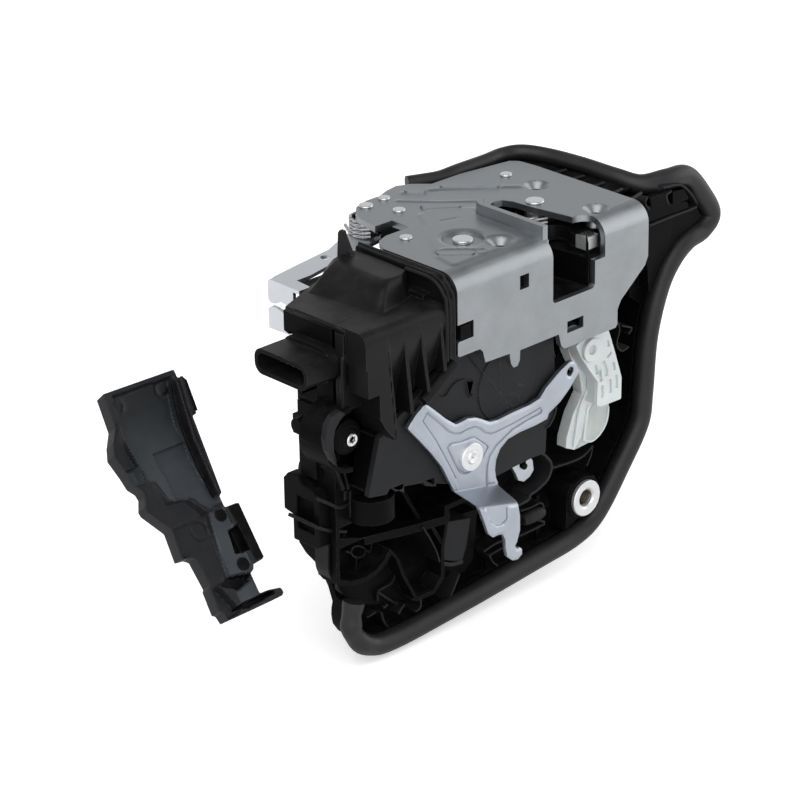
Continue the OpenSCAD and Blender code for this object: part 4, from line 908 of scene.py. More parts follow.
def release_lever():
    """Pressed sheet: two flat parts with relief, joined by a bend whose depth is a smooth
    step between them."""
    top = shown([(426, 404), (433, 409), (446, 419), (456, 424.5), (462, 422), (468, 418.5),
                 (476, 417.6), (484, 420), (490, 422), (498, 420), (512, 413), (530, 405),
                 (541, 398), (547, 388), (560, 372), (570, 362), (574, 361), (577, 366),
                 (579, 372), (570, 388), (560, 402), (549, 413), (547, 419), (536, 425),
                 (520, 432), (508, 439), (500, 449), (496, 460), (495, 470), (496, 478),
                 (498, 483), (455, 491.5), (450, 482), (443, 468), (432, 454), (420, 441),
                 (408, 429), (416, 416)], LEVER_FACE)
    low = shown([(480, 509), (518, 504), (520, 516), (520, 530), (517, 542), (515, 546),
                 (517, 549), (520, 547.5), (522, 549), (522, 554), (518, 559), (513, 560.5),
                 (508, 557), (506.5, 549), (506, 540), (503, 534), (498, 535), (493, 537.5),
                 (489, 534), (485, 522)], FOOT_FACE)
    hole = disc(*shown([(570.5, 371.5)], LEVER_FACE)[0], 1.9, 24)
    a = shown([(455, 491.5), (498, 483)], LEVER_FACE)
    b = shown([(480, 509), (518, 504)], FOOT_FACE)
    t = np.linspace(-0.12, 1.12, 24)
    left, right = (a[i] + (b[i] - a[i]) * t[:, None] for i in (0, 1))
    depth = LEVER_FACE + (FOOT_FACE - LEVER_FACE) * smooth(t)
    shapes = [plate(rounded(top, 1.2, 3), LEVER_FACE, -24.3, "xz", 0.45, holes=[hole]),
              plate(rounded(low, 0.6, 3), FOOT_FACE, -36.8, "xz", 0.45)]
    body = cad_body("release_lever")
    piece("release_lever_shape", shapes, LEVER, body=body, replaces=["release_lever"], sharp=42)
    # The bend takes the darker zinc: painted shade
    piece("lever_bend", [bar(left, right, depth, depth + 2.0, 0.3, (0.3, 0))], SHADED_ZINC,
          body=body, sharp=60)
    piece("lever_pressing", [relief([top, hole], FRONT, -LEVER_FACE, lever_relief, 0.42),
                             relief([low], FRONT, -FOOT_FACE, foot_relief, 0.42)],
          LEVER, body=body, mend=False)
    # Thin strips of the darker zinc laid along the pressed lines: painted shade in the creases
    web = np.vstack([LEVER_WEB, LEVER_WEB[:1]])
    foot = shown([(483, 508), (489, 520), (494, 525.5), (501, 525), (507, 519), (507, 508)],
                 FOOT_FACE)
    pad = smooth_path(np.vstack([LEVER_PAD, LEVER_PAD[:1]]), 3)
    lines = [(web[:25], -26.86), (web[26:], -26.86), (pad, -26.8), (foot, -39.3)]
    piece("lever_crease_shade", [plate(strip(q, 0.42), y, y + 0.5, "xz", 0.05) for q, y in lines],
          SHADED_ZINC, body=body)


piece("plate_pressing", [relief(face_loops("latch_plate", UP, 0), UP, 0, plate_relief, 0.8)],
      STEEL, mend=False)
release_lever()


# ---- upper case: shelf, dome, band, block with slanted ribs ---------------------------
def dome():
    """Bump between a low and a high loop: p(s) = low + (high - low) s, z an S curve in s."""
    low = rounded([(-93, 16), (-92.3, 10), (-88.5, -19), (-70, -14.5), (-64, -10), (-63.9, 8),
                   (-63.8, 20.6), (-84, 20.6)], 3.0, 6)
    high = rounded([(-75, 16.5), (-75.2, 6), (-75.6, -9), (-70, -10), (-65.4, -8), (-64.6, 6),
                    (-64.6, 19), (-74, 19)], 1.6, 6)
    s = np.linspace(0, 1, 16)
    z = -10 + 8.1 * (0.5 - 0.5 * np.cos(np.pi * s ** 0.85))
    rings = [np.column_stack([low + (high - low) * k, np.full(len(low), h)])
             for k, h in zip(s, z)]
    return loft([np.column_stack([low, np.full(len(low), -12.0)])] + rings)


# Slanted ribs: X at the top, X at the foot, Z of the foot; the block's front sinks between
# them from RIB_TOP down, over SINK_SPAN mm
RIBS = ((-94, -90.3, -54.5), (-85.7, -82.4, -46.6), (-77.8, -74, -40.5), (-67.9, -65.6, -35))
RIB_TOP, SINK_SPAN, BLOCK_FACE = -14.5, 32, -29.0


def rib_x(i, z):
    """Place of the slanted rib i at height z."""
    top, foot, low = RIBS[i]
    return top + (foot - top) * (RIB_TOP - z) / (RIB_TOP - low)


def block():
    """Closed sections carried along X: shoulder arc, front that sinks between the ribs by
    8 smooth(z) mm, lower edge that follows the case."""
    x = np.unique(np.concatenate([np.linspace(-104.6, -64.6, 70),
                                  [-103.82, -103.78, -98.32, -98.28]]))
    low = np.interp(x, [-104.6, -103.81, -103.8, -98.31, -98.3, -95.7, -90.3, -82.4, -74, -64],
                    [-23.4, -23.4, -34.2, -34.2, -44, -48.6, -55.2, -46.9, -40.8, -34.6])
    a = np.linspace(0, np.pi / 2, 7)
    y = [np.full_like(x, -13.0), *(np.full_like(x, -25 - 4 * math.sin(k)) for k in a)]
    z = [np.full_like(x, -9.8), *(np.full_like(x, -13.8 + 4 * math.cos(k)) for k in a)]
    for k in np.linspace(0.04, 1, 26):
        h = -13.8 + (low + 13.8) * k
        sunk = smooth((x - rib_x(0, h)) / 0.8)
        y.append(BLOCK_FACE + 8.0 * sunk * smooth((RIB_TOP - h) / SINK_SPAN))
        z.append(h)
    y += [np.full_like(x, -13.0)]
    z += [low]
    pts = np.stack([np.broadcast_to(x, (len(y), len(x))), np.array(y), np.array(z)], -1)
    return loft(list(pts.transpose(1, 0, 2)))


def slanted_rib(i):
    """Thin rib across the front: half width 0.25 + 0.55 smooth(z), so it tapers upwards."""
    z = np.linspace(-13.2, RIBS[i][2], 20)
    wide = 0.25 + 0.55 * smooth((-13 - z) / 12)
    x = rib_x(i, z)
    back = BLOCK_FACE + 8.5 * smooth((RIB_TOP - z) / SINK_SPAN) + 1.2
    left, right = (np.stack([x + k * wide, z], 1) for k in (-1, 1))
    return bar(left, right, np.full(len(z), BLOCK_FACE), back, 0.2, (0.2, 0))


# Section of the band's front edge, as (y, z)
BEND = [(20.5, -0.9), (-19.5, -0.9), (-24.2, -2.2), (-27.2, -5.2), (-28.7, -9.5), (-28.8, -31)]


def upper_case():
    """Everything that stands for the upper case."""
    band = rounded([(20.5, -0.6), (-20, -0.6), (-24.5, -2), (-27.5, -5), (-29, -9.5), (-29, -31),
                    (-25, -31), (-25, -13), (-19, -10), (20.5, -10)], 1.2, 4)
    shapes = [
        plate([(-105.6, -13), (-64.6, -13), (-64.6, 21), (-84, 21), (-105.6, 12.2)],
              -12, -9.8, "xy", 0.5),
        dome(), block(), *[slanted_rib(i) for i in range(4)],
        plate(band, -63.6, -60.2, "yz", 0.5),
        swept([(-61.4, y, z + 0.2) for y, z in BEND], 0.75),
        swept([(-65.0, y, z - 0.6) for y, z in [(-8, -0.9)] + BEND[1:]], 0.8),
        box((-67, -19, -12), (-63, 14, -8), 0.3),
        plate([(8, -9), (8, -12), (24, -12), (24, -6), (23.3, 5), (22.4, 6.3), (20.6, 6.3),
               (19.6, 4), (17, -0.5), (14, -3)], -69.6, -67.6, "yz", 0.4),
        plate([(-105.8, -12), (-97, -12), (-97, -42), (-105.8, -42)], -18.5, -14, "xz", 0.3,
              holes=[[(-104.3, -21), (-98.6, -21), (-98.6, -32), (-104.3, -32)]]),
        box((-102.4, -17.6, -32), (-101.4, -16, -21), 0.2),
        box((-100.4, -18, -26), (-99.8, -16, -21), 0.1),
        swept([(-106, 6, -9.7), (-106, -6.8, -9.8), (-105.9, -14, -9.9), (-104.6, -17.2, -10.8),
               (-102, -17.8, -13.8), (-100.6, -17.8, -16.7), (-102.6, -17.8, -18.9),
               (-105.2, -17.8, -21), (-105.9, -17.8, -24), (-106, -17.8, -42)], 0.85, 8),
    ]
    piece("upper_case_shape", shapes, SATIN, replaces=["upper_case"], sharp=40)


upper_case()


# ---- washer of the release lever ---------------------------------------------------------
def lever_washer():
    """Washer and rivet head with a dimple on the release lever's pin."""
    at = (-51.3, 0, -74.8)
    ring = [(2.0, -26.4), (5.2, -26.4), (5.5, -26.7), (5.5, -27.8), (5.2, -28.1),
            (3.2, -28.1), (2.9, -27.9), (2.7, -27.8), (2.5, -28.3), (2.2, -28.55),
            (1.8, -28.5), (1.4, -28.2), (0.9, -28.05), (0.3, -28.0)]
    piece("lever_rivet", [lathe(ring, at, sides=64)], WASHER)


lever_washer()


# ---- front cover, cap, key lever ----------------------------------------------------
COVER_FACE, MARKS, UNDER_MARKS = -23.5, -24.2, -23.2


def front_cover():
    """Flat front with its rims, round cap with lines, clips, ring and pocket wall."""
    rim = np.vstack([[(-64, -30), (-14, -30), (-7, -36), (-4, -42)],
                     shown([(556, 385), (556, 412), (551, 424), (547, 428), (546, 453),
                            (533, 458), (515, 467), (498, 476), (470, 484), (436, 484),
                            (433, 487), (425, 486), (424, 483), (404, 487), (403, 490),
                            (396, 492), (391, 488), (387, 495)], COVER_FACE),
                     [(-99.6, -76.4), (-93.6, -54.6), (-64, -38)]])
    rim = rounded(rim, 0.8, 3)
    notch = [shown(t, COVER_FACE) for t in ([(394, 488), (403, 485), (403, 491)],
                                            [(426, 481), (435, 478), (435, 485)])]
    shapes = [plate(rim, COVER_FACE, -20.6, "xz", 0.45, holes=notch),
              plate(disc(-29.3, -53.4, 14.8, 64), -24.0, UNDER_MARKS, "xz", 0.3)]
    for line, wide, steps in (
            ([(501, 414), (501, 396), (487, 378), (473, 360), (466, 352)], 0.7, 1),
            ([(500.6, 352), (500.6, 375), (500.6, 396)], 0.5, 1),
            ([(516, 384.5), (521, 385), (526, 387)], 0.7, 5),
            ([(474, 381), (467, 383), (470, 397), (474, 395)], 0.8, 1),
            ([(429, 390), (437, 397), (446, 397), (451, 390), (457, 383), (466, 380)], 0.8, 5),
            ([(503, 416), (509, 412), (514, 409), (518, 404), (519, 398), (515, 394),
              (509, 396), (507, 402), (508, 408)], 0.7, 5)):
        shapes.append(wall(line, MARKS, UNDER_MARKS, wide, steps))
    shapes += [
        wall([(547, 428), (551, 424), (556, 412), (557, 396)], MARKS, -21, 0.8),
        wall([(545, 455), (551, 462), (552, 469), (548, 480), (538, 490), (531, 495),
              (529, 500), (518, 506)], -21.5, -11.6, 1.1),
        wall([(545, 455), (537, 452), (531, 455), (526, 457)], -22.5, -19, 0.9)]
    for a in ([(548, 335), (556, 357), (561, 340)], [(552, 338), (557, 347), (559, 338)]):
        shapes.append(wall(a, -22.5, -18, 0.9, 1))
    at = (-25.9, 0, -61.6)
    ring = lathe([(1.5, -23.6), (1.5, -24.05), (1.7, MARKS), (2.4, MARKS), (2.6, -24.05),
                  (2.6, -23.6)], at, sides=28)
    piece("front_cover_shape", shapes, COVER, replaces=["front_cover", "drive_cap"], sharp=40)
    # The cover's side walls take the black moulding, darker than the cover itself: painted shade
    piece("cover_sides_shade", [plate(drawn_in(rim[::-1], 1.6), -21.2, -11.6, "xz", 0.3)], BLACK)
    piece("cover_ring", [ring], COVER)
    # A black cup in the ring's hole: painted shade
    piece("cover_hole_shade", [lathe([(1.55, -23.4), (1.55, -23.9), (0.3, -23.9)], at)], BLACK)


def key_lever():
    """Small zinc blade with a hole at its pin."""
    face = -19
    blade = shown([(512, 467), (515, 459), (521, 455), (528, 455), (533, 460), (534, 470),
                   (530, 477), (524, 482), (519, 481), (516, 474)], face)
    hole = disc(*shown([(523, 463.5)], face)[0], 1.7, 20)
    piece("key_lever_shape", [plate(rounded(blade, 0.8, 3), face, -17, "xz", 0.3,
                                    holes=[hole])],
          ZINC, body=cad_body("key_lever"), replaces=["key_lever"])


def key_pin():
    """Thin pin that the key lever turns on."""
    co = np.array([w.co for w in nodes["key_lever_pin"].data.vertices]) / MM
    (x, _, z), (low, high) = (co.min(0) + co.max(0)) / 2, (co[:, 1].min(), co[:, 1].max())
    pin = [(0.3, high), (1.3, high), (1.3, low + 0.3), (1.0, low), (0.3, low)]
    piece("key_pin", [lathe(pin, (x, 0, z), sides=24)], BLACK,
          body=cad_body("key_lever_pin"), replaces=["key_lever_pin"])


front_cover()
key_lever()
key_pin()


# ---- lock lever: cells, eye, shoulder ---------------------------------------------------
def lock_lever():
    """White lever with moulded slots, its eye, and the rims of the blade below it."""
    face = -21.5
    front = rounded(shown([(576, 346), (588, 336), (600, 326), (607, 326), (610, 333),
                           (616, 354), (622, 377), (621.5, 399), (601, 407), (597, 406),
                           (598, 382.5), (590, 371), (582, 359)], face), 0.8, 3)
    slots = [[(594, 366), (597, 365), (599, 374), (596.5, 375)],
             [(601.5, 362), (605, 360.5), (608.5, 370), (608.5, 376), (605.5, 376),
              (604.5, 367)],
             [(613, 362.5), (615, 362.5), (616.3, 370), (614, 370.5)],
             [(615.5, 375), (618, 375), (618.7, 387.5), (616, 388)],
             [(609.5, 379.5), (612, 379), (612.2, 392.5), (609.8, 393)],
             [(601.3, 386), (604, 385.5), (604, 397), (601.5, 397.8)],
             [(607, 340.5), (609, 340), (610.3, 346), (608, 347)],
             [(607, 356.5), (611.5, 351.5), (612.5, 353.5), (608.5, 358)],
             [(599, 371), (601.5, 370), (603, 381), (600.6, 382)]]
    holes = [shown(q, face) for q in slots]
    shapes = [plate(front, face, -20.4, "xz", 0.35, holes=holes),
              plate(front * 0.995, -20.6, -15.5, "xz", 0.35)]
    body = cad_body("lock_lever")
    piece("lock_lever_shape", shapes, WHITE, body=body, replaces=["lock_lever"], sharp=40)
    x, z = shown([(592, 349.8)], -22.5)[0]
    ring = [(1.8, -19), (4.6, -19), (4.75, -19.3), (4.75, -22.9), (4.5, -23.2), (2.3, -23.2),
            (2.0, -23.0), (1.9, -22.4), (1.9, -21.6), (0.3, -21.5)]
    piece("lock_lever_eye", [lathe(ring, (x, 0, z))], WHITE, body=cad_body("lock_lever_pin"),
          replaces=["lock_lever_pin"])
    rims = [wall([(591, 384), (586, 395), (581, 408), (577.5, 428), (575, 447)],
                 -16.2, -14.9, 1.3),
            wall([(589, 406), (586.5, 424), (584.5, 441)], -16.0, -14.9, 1.1),
            wall([(585, 441), (592, 441.5), (599, 436), (605, 427), (608, 418), (609, 407)],
                 -15.7, -14.9, 0.8)]
    piece("lock_link_rims", rims, WHITE, body=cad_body("lock_link"))


lock_lever()


# ---- threaded insert -------------------------------------------------------------------
def helix(x, z, r, low, high, pitch, wire_r):
    """Thread: (x + r cos a, low + pitch a / 2 pi, z + r sin a) with a round section."""
    a = np.linspace(0, 2 * np.pi * (high - low) / pitch, int(22 * (high - low) / pitch))
    return sweep(np.stack([x + r * np.cos(a), low + pitch * a / (2 * np.pi),
                           z + r * np.sin(a)], 1), wire_r, 6)


def insert():
    """Flanged bush with a threaded bore."""
    x, z = 26.5, -124
    profile = [(0.3, -3), (3.5, -3), (3.5, -11.5), (3.7, -12), (4.3, -12.5), (4.6, -12.7),
               (7.1, -12.8), (7.4, -12.5), (7.45, -11.3), (7.2, -11), (6, -11), (6, -1.1),
               (0.3, -1.1)]
    piece("insert_shape", [lathe(profile, (x, 0, z), sides=56)], WASHER,
          replaces=["threaded_insert"], sharp=40)
    piece("insert_thread", [helix(x, z, 3.4, -11.5, -3.2, 1.0, 0.3)], THREAD)


insert()


# ---- actuator case: rims, clips and thin ribs at the lower left -------------------------
def case_details():
    """Thin walls and clips that stand on the floors of the case, as (y, wide, line)."""
    lines = [
        (-8.6, 1.2, [(329, 545), (329, 560), (329.5, 571), (333, 580)]),
        (-12.6, 1.6, [(346, 491), (346, 500)]),
        (-12.6, 1.4, [(351, 491), (352, 517)]),
        (-9, 1.2, [(337, 537), (337, 548)]),
        (-9, 1.2, [(344.5, 535), (345, 546)]),
        (-9.5, 1.3, [(316, 527), (330, 531), (347, 532)]),
        (-12, 1.3, [(318, 499), (330, 504), (340, 508), (349, 505)]),
        (-6.4, 0.9, [(397, 562), (395.5, 575), (392, 583), (384, 588), (378, 592), (378, 601)]),
        (-7, 0.9, [(378, 592), (390, 600), (403, 607)]),
        (-5.6, 0.7, [(366, 551), (371, 551), (372, 542)]),
        (-5.6, 0.7, [(351, 553), (346, 551.5)]),
        (-5.6, 0.7, [(357, 557), (356, 571)]),
        (-5.6, 0.8, [(351, 553), (353, 548), (358, 546), (364, 548), (366, 552), (362, 557),
                     (355, 557), (351, 553)]),
        (-11.2, 0.9, [(413, 600), (420, 598), (421, 607), (416, 612)]),
        (-10, 0.9, [(399, 614), (403, 607), (405, 605)]),
        (-7, 1.0, [(382, 613), (384, 621), (389, 628)]),
        (-7, 1.0, [(384, 608), (388, 605)]),
        (-7, 0.8, [(367, 617.5), (376, 612.5)]),
        (-8, 1.1, [(397, 632), (400, 637), (408, 637), (412, 629), (414, 626)]),
        (-12.2, 0.8, [(423, 527), (431, 540), (437, 552), (440, 562)]),
        (-14, 1.2, [(332, 465), (337, 470), (341, 480), (344, 490)]),
        (-14, 1.0, [(339, 464), (344, 470), (347, 480), (349, 489)]),
    ]
    piece("case_ribs", [rib(q, y, wide) for y, wide, q in lines], SATIN)
    piece("tray_strip", [rib([(460, 574), (450, 599), (440, 622)], -9, 0.8)], COVER)


def back_ribs():
    """Low ribs and bosses on the flat back of the carrier."""
    sunk = 18.4
    ribs = [box((x - 0.9, sunk, -99), (x + 0.9, 20.6, -30), 0.4)
            for x in (-78, -48, -18, 12, 42)]
    ribs += [box((-85, sunk, z - 0.9), (52, 20.2, z + 0.9), 0.4) for z in (-36, -66, -96)]
    boss = [(4.2, sunk), (4.2, 20.9), (3.8, 21.3), (2.0, 21.3), (1.8, 21.1), (1.8, 19.4),
            (0.3, 19.4)]
    bosses = [lathe(boss, (x, 0, z), sides=32)
              for x, z in ((-78, -36), (42, -36), (-48, -96), (12, -96))]
    piece("back_ribs", ribs + bosses, SATIN)


case_details()
back_ribs()


# ---- perimeter seal --------------------------------------------------------------------
# Middle line of the seal: along the back, round the ear, round the tray
SEAL_LINE = [
    (-3.5, 55.8, -3.4), (2.5, 52.8, -3.2), (9, 50.2, -3), (18, 49.4, -2.4), (32, 49, -2.2),
    (42, 49, -1.9), (49, 45.4, -1.6), (54, 36, -2.0), (56.8, 20, -2.4), (58.8, 4, -3.3),
    (63, -5.2, -4.7), (73, -9.5, -3.9), (84, -9.5, -5.5), (93, -9.5, -15),
    (99, -9.5, -25), (94, -9.5, -30.5), (85, -9.5, -32.7), (76.8, -9.5, -38.2),
    (69.6, -9.5, -48.2), (63.6, -9.5, -67), (61.4, -9.5, -90), (59.2, -9.5, -103),
    (48.5, -9.5, -118), (35, -9.5, -134), (22.5, -9.5, -140), (0, -9.5, -142.5),
    (-40, -9.5, -146), (-76, -9.5, -148.1), (-89.5, -9.5, -145.5), (-96.2, -9.5, -138),
    (-96.8, -9.5, -131.5), (-95.4, -9.5, -125)]


def seal():
    """Tube along a smooth line: r(s) = 4.2 less 1.1 along the back, where it is lifted by as
    much, and less 0.45 (1 + sin 150 s) / 2 near its lower left end."""
    path = smooth_path(SEAL_LINE, 9)
    a = np.linspace(0, 2 * np.pi, 28, endpoint=False)
    section = np.stack([np.cos(a), np.sin(a)], 1)
    k = np.linspace(0, 1, len(path))
    waves = 0.5 + 0.5 * np.sin(150 * k)
    thin = 1.1 * (1 - smooth((k - 0.26) / 0.08))
    path[:, 2] += thin
    radius = 4.2 - thin - 0.45 * waves * smooth((k - 0.87) / 0.05)
    piece("seal_bulb", [sweep(path, radius, section=section)], SEAL,
          replaces=["perimeter_seal"], sharp=50)


seal()


# ---- screw, its boss and ring, pegs, claw tip ---------------------------------------------
def screw():
    """Round head with a six-lobe recess, the boss under it and half a ring round it."""
    x, z = -104.0, -52.7
    head = [(1.3, -9.2), (1.3, -19.3), (2.6, -19.3), (2.7, -19.6), (2.55, -20.2), (2.2, -20.45),
            (1.9, -20.3), (1.5, -20.3), (1.35, -20.2), (1.3, -19.2), (0.3, -19.1)]
    lobes = [0] * 7 + [0, 0.12, 0.14, 0]
    piece("screw_head", [lathe(head, (x, 0, z), sides=60, lobes=lobes)], BRIGHT,
          replaces=["case_screw"], sharp=40)
    boss = [(6.6, -11.5), (6.6, -17.4), (6.3, -17.8), (3.6, -18.9), (3.2, -19.25), (0.3, -19.25)]
    piece("screw_boss", [lathe(boss, (x, 0, z), sides=48)], BLACK)
    ring = [(341, 411), (333, 417), (328, 427), (326, 440), (328, 452), (333, 462), (338, 467),
            (337, 461), (334.5, 452), (334, 440), (336, 429), (341, 420), (346, 414)]
    piece("screw_ring", [plate(rounded(shown(ring, -22.9), 0.6, 3), -22.9, -20, "xz", 0.4)],
          COVER)


def pegs():
    """Two pegs at the left of the case, one square and one round with a collar."""
    piece("case_pegs", [box((-107.8, -6, -49.0), (-100, 5, -43.4), 0.5),
                        lathe([(2.5, -112.2), (2.9, -111.9), (2.9, -108), (3.5, -107.6),
                               (3.5, -100)], (0, 1, -51.6), "x", 28)], BLACK)


screw()
pegs()
piece("claw_tip", [box((12.4, -24.7, -12.2), (18.9, -18.5, -7.2), 0.4)], WASHER,
      body=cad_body("claw"))


# ---- tray and ear forms ---------------------------------------------------------------------
def tray_forms():
    """Low ribs, as (y, wide, line), a short tube and a bar on the floor of the tray."""
    lines = [(-10, 0.9, [(518, 537), (531, 531), (545, 524)]),
             (-9, 1.0, [(484, 552), (494, 545), (505, 540)]),
             (-9, 0.8, [(489, 556), (499, 550), (507, 546)]),
             (-9, 0.8, [(490, 556), (493, 562), (498, 566)]),
             (-10, 1.0, [(553, 468), (572, 462), (584, 456), (593, 446)]),
             (-10, 0.8, [(593, 446), (591, 456), (587, 466)]),
             (-10, 0.9, [(521, 511), (530, 508), (541, 503), (544, 507)]),
             (-10, 0.9, [(524, 523), (534, 520), (545, 522)])]
    piece("tray_forms", [rib(q, y, wide) for y, wide, q in lines], SATIN)
    a, b = (spot([q], FRONT, 8.5)[0] for q in ((522, 520), (542, 511)))
    tube = sweep(np.linspace(a, b, 6), [2.2, 2.9, 2.9, 2.9, 2.9, 2.2], 20)
    web = rib([(523, 519.5), (532, 515.5), (541, 511.5)], -8, 1.6)
    piece("tray_tube", [tube, web], COVER)
    bar_face = -9.5
    outline = shown([(447, 522), (471, 518), (467, 545), (462, 563), (441, 560), (443, 545)],
                    bar_face)
    piece("tray_box", [plate(rounded(outline, 0.6, 3), bar_face, 4.5, "xz", 0.5),
                       rib([(440, 563), (452, 565), (463, 562)], -10.2, 1.4)], COVER)


def ear_forms():
    """Ledge rim and pockets inside the ear, the pockets dark with painted shade, and ribs
    beside the plate.
    """
    rim = [(650, 226), (672, 217), (695, 208), (697, 203), (690, 192), (680, 185), (664, 188)]
    piece("ear_ledge", [wall(rim, -14.6, -9, 0.8, 4),
                        wall([(672, 191), (667, 196), (669, 204)], -14.4, -9, 0.9),
                        wall([(648, 197), (646, 204), (650, 210)], -14.4, -9, 0.7)], COVER)
    # Black plates in the pocket openings: painted shade
    piece("ear_pocket_shade", [plate(rounded(shown(q, -14.2), 0.6, 3), -14.3, -11, "xz", 0.2)
                          for q in ([(650, 198), (664, 193), (668, 203), (652, 209)],
                                    [(673, 192), (684, 189), (689, 199), (673, 205)])], BLACK)
    ribs = [[(547, 175), (566, 170)], [(566, 181), (584, 176)], [(588, 188), (604, 183)],
            [(606, 197), (622, 189)], [(627, 202), (641, 193)]]
    floor = [(-3, 50), (18, 49.4), (32, 49), (44, 48.6), (50.5, 45.6), (54.2, 36), (56.8, 20),
             (59, 2), (62, -5), (39.5, -5), (39.5, 45), (-3, 45)]
    rim = smooth_path(SEAL_LINE[1:11], 4)[:, :2]
    piece("side_floor", [plate(floor, -5.4, -4.1, "xy", 0.2),
                         plate(strip(rim, 1.6), -9, -2.6, "xy", 0.3)], BLACK)
    piece("side_ribs", [sweep(spot(q, UP, -3.3), 0.6, 8) for q in ribs], COVER)
    clips = [[(617, 304), (616, 318), (620, 329), (617, 344), (622, 351), (629, 347)],
             [(629, 334), (632, 328), (622, 326)]]
    piece("side_clips", [rib(q, -13.4, 0.8) for q in clips], SATIN)


tray_forms()
ear_forms()


# ---- loose cover ------------------------------------------------------------------------
TILTED, OPENING = (0, -0.7771, 0.6293), -50.39


def flat(pixels, depth):
    """Pixels brought onto the loose cover's plane, that deep under its opening."""
    return drawn(pixels, TILTED, OPENING - depth)


# Forms of the cover's inner side: depth of the line that the photo shows, and pixels
LOOSE_FORMS = {name: flat(pixels, depth) for name, depth, pixels in (
    ("main", 3, [(109, 399), (168, 379), (171, 398), (179, 425), (187, 441), (216, 505),
                 (206, 512), (188, 500), (172, 503), (166, 503), (152, 484), (146, 485),
                 (139, 470), (128, 452), (120, 438), (116, 415)]),
    ("low", 4, [(154, 454), (187, 441), (190, 458), (199, 480), (217, 504), (204, 511),
                (188, 500), (173, 502), (160, 476)]),
    ("bulge", 2, [(106, 430), (116, 426), (121, 442), (136, 464), (142, 486), (128, 489),
                  (118, 476), (108, 459)]),
    ("spoon", 3, [(121, 474), (137, 468), (142, 485), (132, 490)]),
    ("flap", 1, [(137, 489), (152, 485), (167, 504), (185, 500), (206, 514), (163, 533),
                 (140, 515)]),
    ("foot", 2, [(163, 533), (206, 514), (229, 578), (216, 588), (238, 612), (222, 626),
                 (205, 590), (188, 560), (175, 563)]),
    ("side", 2, [(207, 514), (222, 508), (252, 568), (250, 578), (258, 595), (240, 606),
                 (229, 580)]),
    ("well", 5, [(224, 534), (244, 521), (254, 548), (241, 554), (231, 556)]),
    ("hollow", 4, [(216, 589), (226, 579), (244, 575), (246, 583), (235, 592)]),
    ("slot", 3, [(232, 611), (243, 603), (268, 592), (271, 595), (244, 610)]),
)}


def rows(q, y0, y1):
    """0 to 1 down the cover, from one row of pixels to another."""
    a, b = flat([(160, y0), (160, y1)], 4)[:, 1]
    return np.clip((a - q[:, 1]) / (a - b), 0, 1)


def loose_relief(q):
    """Sum of the forms, each depth (along its rows) times bank(form), of two grooves
    ridge(line) and of three faint rings exp(-((d - r) / 0.6)^2)."""
    def hump(y0, y1):
        return np.sin(np.pi * rows(q, y0, y1))

    trough = np.sin(np.pi * np.clip(rows(q, 384, 480) * 0.9 + 0.1, 0, 1))
    depths = (("main", 0.9, 2.6 * (0.4 + 1.6 * trough)),
              ("low", 0.8, 1 + 1.4 * hump(445, 505)),
              ("bulge", 1.0, 1.2 + 2.2 * hump(428, 480)),
              ("spoon", 1.2, 1.6),
              ("flap", 1.2, 1.0 + 2.0 * rows(q, 485, 533)),
              ("foot", 1.2, 3.0), ("side", 0.8, 1.4), ("well", 1.0, 4.2),
              ("hollow", 1.6, 2.6), ("slot", 0.8, 3.6))
    h = -sum(depth * bank(q, LOOSE_FORMS[name], edge) for name, edge, depth in depths)
    for line in ([(174, 384), (183, 413), (191, 440), (217, 498)],
                 [(178, 381), (187, 411), (195, 434), (221, 492)]):
        h -= 1.6 * ridge(q, flat(line, 1), 0.9)
    for x, y, r, up in ((118, 407, 2.6, 0.5), (162, 389, 2.6, 0.5), (199, 530, 3.4, 0.35)):
        d = near(q, flat([(x, y), (x + 0.1, y)], 3))
        h -= up * np.exp(-((d - r) / 0.6) ** 2)
    return h


def set_slots(me, axes):
    """Gives the faces of the cover's floor their material: 0, the lit copy, in the bright
    forms, 2, black for painted shade, in the dark wells, 1, the painted-shade copy, elsewhere."""
    co = np.zeros(3 * len(me.polygons))
    me.polygons.foreach_get("center", co)
    q = co.reshape(-1, 3) / MM @ np.stack(axes, 1)
    slot = np.ones(len(q), int)
    for k, names in ((0, ("main", "low", "side", "spoon")), (2, ("well", "hollow", "slot"))):
        for name in names:
            slot[inside(q, [LOOSE_FORMS[name]])] = k
    me.polygons.foreach_set("material_index", slot.tolist())


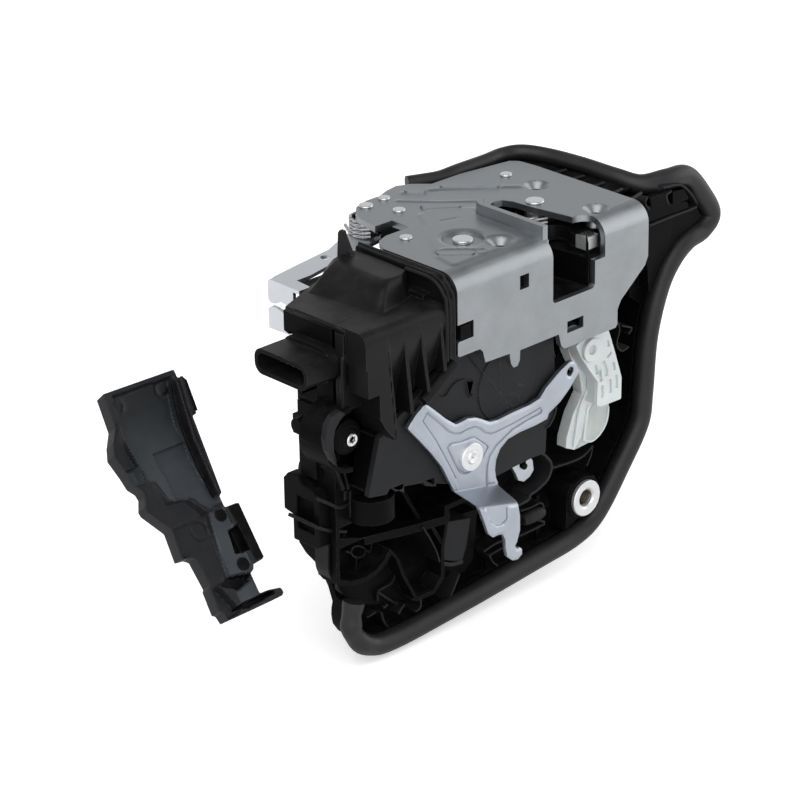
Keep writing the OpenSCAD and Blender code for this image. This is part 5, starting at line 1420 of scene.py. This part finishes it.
def loose_cover():
    """The loose cover: a side wall round its outline, a bottom, and the relief inside."""
    rim = flat([(103, 394), (174, 369), (178, 378), (183, 374.5), (197, 413), (193, 415.5),
                (200, 434), (222, 492), (220, 496), (225, 507), (238, 502), (264, 558),
                (254, 564), (254, 569), (251, 573), (260, 593), (269, 589.5), (281, 587),
                (284, 592), (283, 595), (271, 601), (228, 621), (223, 613), (219, 612),
                (209.5, 588), (210, 585), (196, 559), (191, 557.5), (182, 560), (171, 530),
                (148, 513), (145, 508), (145, 496), (142, 491), (134, 486), (127, 475),
                (114, 457), (113, 444), (115, 428)], 0)
    rim[:, 0] = np.clip(rim[:, 0], -180.2, -134.4)
    rim = rim if area(rim) > 0 else rim[::-1]
    rim = divided(rounded(rim, 0.7, 2), 1.2)
    u, v, n = plane_axes(TILTED)
    body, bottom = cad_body("cable_cover"), 6.2
    rings = [lifted(drawn_in(rim, by), TILTED, OPENING - deep)
             for by, deep in ((0.7, bottom), (0.4, 5.9), (0.3, 5.4), (0, 0.4), (0.12, 0.1),
                              (0.4, -0.03))]
    back = relief([drawn_in(rim, 0.7) * (-1, 1)], -n, bottom - OPENING,
                  lambda q: 0 * q[:, 0], 3.0, lift=0.0)
    # The shell takes the darker copy of the moulding: painted shade
    piece("loose_cover_shell", [loft(rings, False), back], LOOSE_SHADED, body=body,
          replaces=["cable_cover"], sharp=40)
    floor = piece("loose_cover_floor", [relief([drawn_in(rim, 0.4)], TILTED, OPENING,
                                               loose_relief, 0.55, 0.9)],
                  LOOSE, body=body, mend=False)
    # Slots 1 and 2 of the floor are painted shade: the darker copy, and the black moulding in the
    # wells
    floor.data.materials.append(LOOSE_SHADED)
    floor.data.materials.append(BLACK)
    set_slots(floor.data, (u, v))
    # Black plugs set into the wells and grooves of the cover: painted shade
    shade_plugs = [(0.0, flat([(226, 508), (237, 504), (262, 558), (254, 562), (244, 541),
                         (232, 518)], 1.2)),
             (0.1, flat([(170, 384), (174, 383), (181, 410), (190, 436), (203, 467),
                         (215, 495), (212, 498), (196, 468), (184, 440), (176, 415)], 1.2)),
             (0.0, flat([(181, 378), (185, 381), (196, 411), (192, 413)], 1.2))]
    shade_plugs += [(deep, disc(*flat([q], seen)[0], r, 28))
              for deep, q, seen, r in ((1.2, (220.5, 515), 1.4, 2.5), (1.2, (243, 564), 1.4, 2.5),
                                       (3.6, (162, 389), 4.6, 2.4), (5.4, (175, 437), 4.6, 2.4))]
    parts = []
    for deep, loop in shade_plugs:
        loop = loop if area(loop) > 0 else loop[::-1]
        parts.append(loft([lifted(w, TILTED, OPENING - deep + k)
                           for w, k in ((loop, -0.8), (loop, 0.1), (drawn_in(loop, 0.1), 0.2))]))
    piece("loose_cover_well_shade", parts, BLACK, body=body)


loose_cover()


bpy.context.scene.view_settings.view_transform = "Standard"
